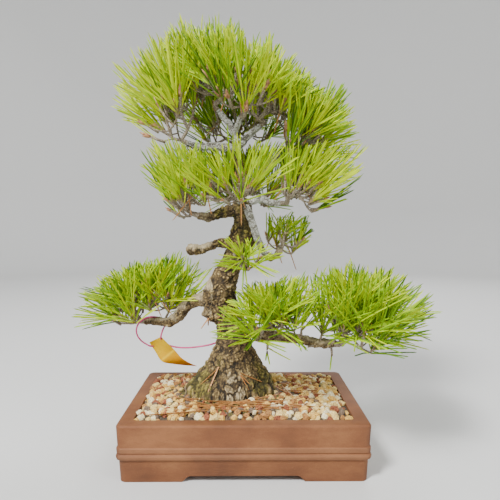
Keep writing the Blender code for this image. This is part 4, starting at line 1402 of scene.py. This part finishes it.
PATHS = {name: smooth_path(points, 2) for name, points in LIMBS.items()}
PATHS["trunk"] = trunk_path()
PATHS["tag_band"] = [(*row, BAND_RADIUS) for row in smooth_path(BAND, 2)]
SPINES = {}
for mass, (limb, heart, _, face, _, _) in MASSES.items():
    tip = Vector(heart) + Vector(face).normalized() * FACE_REACH
    SPINES[mass] = [(*PATHS[limb][-1][:3], 0.0), (*heart, 0.0), (*tip, 0.0)]
STRETCHES = [stretch for path in PATHS.values() for stretch in zip(path, path[1:])]

noise.seed_set(BARK_SEED)
set_camera()
set_stage()

dress(model_pot(), [clay_finish()], "clay", "pot")

soil = frame["nodes"]["soil"].data.materials
soil.clear()
soil.append(two_tone(
    "damp_humus", Finish.cells, (420.0,), (0.1, (0.030, 0.022, 0.015)), (0.6, (0.085, 0.062, 0.040)),
    0.95, 0.001, 0.8,
))
STONES = [pumice_finish(*row) for row in (
    ("cream_pumice", (0.92, 0.70, 0.27), (0.50, 0.30, 0.08)),
    ("straw_pumice", (0.86, 0.54, 0.13), (0.42, 0.21, 0.04)),
    ("white_pumice", (0.97, 0.89, 0.60), (0.60, 0.46, 0.22)),
    ("tan_pumice", (0.50, 0.24, 0.07), (0.20, 0.085, 0.025)),
    ("red_lava", (0.36, 0.110, 0.045), (0.11, 0.030, 0.014)),
    ("grey_lava", (0.22, 0.15, 0.10), (0.08, 0.055, 0.035)),
    # The darkest finish: mossy crumbs round the trunk's foot, and painted shade in the gaps when it is dealt
    # to the under bed.
    ("mossy_crumb_and_gap_shade", (0.15, 0.12, 0.03), (0.045, 0.038, 0.010)),
)]
dress(lay_gravel(), STONES, "gravel")

OLD_WOOD = [name for name in LIMBS if name not in GREY_WOOD]
forms = [copy_of("trunk")] + [limb_form(name) for name in OLD_WOOD]
wood = grow_wood("trunk_and_old_boughs", forms, OLD_SQUARE, 4)
carve_old_bark(wood)
dress(wood, [old_bark_finish()], "old_bark", "trunk", *OLD_WOOD)

forms = [limb_form(name) for name in GREY_WOOD]
boughs = grow_wood("grey_boughs", forms, GREY_SQUARE, 3)
carve_grey_bark(boughs)
dress(boughs, [grey_bark_finish()], "grey_bark", *GREY_WOOD)

# Five greens from lime to deep: partly the needles' own variation, partly painted light and shade, as lit and
# shaded copies of one green dealt out at random.
NEEDLES = [needle_finish(*row) for row in (
    ("needle_lime", (0.55, 0.68, 0.002)),
    ("needle_yellow_green", (0.40, 0.57, 0.002)),
    ("needle_spring", (0.30, 0.50, 0.004)),
    ("needle_green", (0.15, 0.30, 0.004)),
    ("needle_deep", (0.060, 0.14, 0.004)),
)]
GREENS = {
    "needles_bright": (0.30, 0.36, 0.22, 0.10, 0.02),
    "needles_cool": (0.16, 0.36, 0.32, 0.14, 0.02),
    "needles_dark": (0.08, 0.30, 0.38, 0.20, 0.04),
}
SLOTS = {part["node"]: part["material_slot"] for part in frame["record"]["subparts"]}
twig_paths, pegs, shoots = [], [], []
for seed, mass in enumerate(MASSES):
    slot = SLOTS[mass]
    needles, paths, sheath, tips = grow_mass(mass, seed + 1, GREENS[slot])
    dress(needles, NEEDLES, slot, mass)
    twig_paths += paths
    pegs.append(sheath)
    shoots += tips
scales = two_tone(
    "scaly_twig", Finish.cells, (620.0,), (0.05, (0.540, 0.470, 0.360)), (0.55, (0.210, 0.165, 0.115)),
    0.85, 0.0006, 0.8,
)
dress(tubes("twigs", twig_paths, 6), [scales], "grey_bark", *MASSES)
root, way = map(np.concatenate, zip(*pegs))
for piece, name, light, dark, roughness in (
    (prisms("sheaths", root, way, SHEATH_LENGTH, SHEATH_RADIUS),
        "papery_sheath", (0.42, 0.30, 0.17), (0.16, 0.10, 0.055), 0.8),
    (buds(shoots), "resinous_bud", (0.50, 0.27, 0.13), (0.22, 0.095, 0.04), 0.6),
    (dead_needles(shoots, wood), "dead_needle", (0.58, 0.29, 0.09), (0.36, 0.14, 0.04), 0.6),
):
    finish = two_tone(name, Finish.speckle, (300.0, 3.0), (0.35, dark), (0.65, light), roughness)
    dress(piece, [finish], "grey_bark")

dress(model_tag(), [tag_finish()], "tag_yellow", "tag")
band = tubes("pink_band", [[(*row, BAND_RADIUS) for row in smooth_path(BAND, 5)]], 10)
pink = two_tone(
    "pink_band", Finish.speckle, (240.0, 2.0), (0.35, (0.52, 0.030, 0.150)), (0.65, (0.70, 0.055, 0.24)),
    0.42,
)
dress(band, [pink], "band_pink", "tag_band")
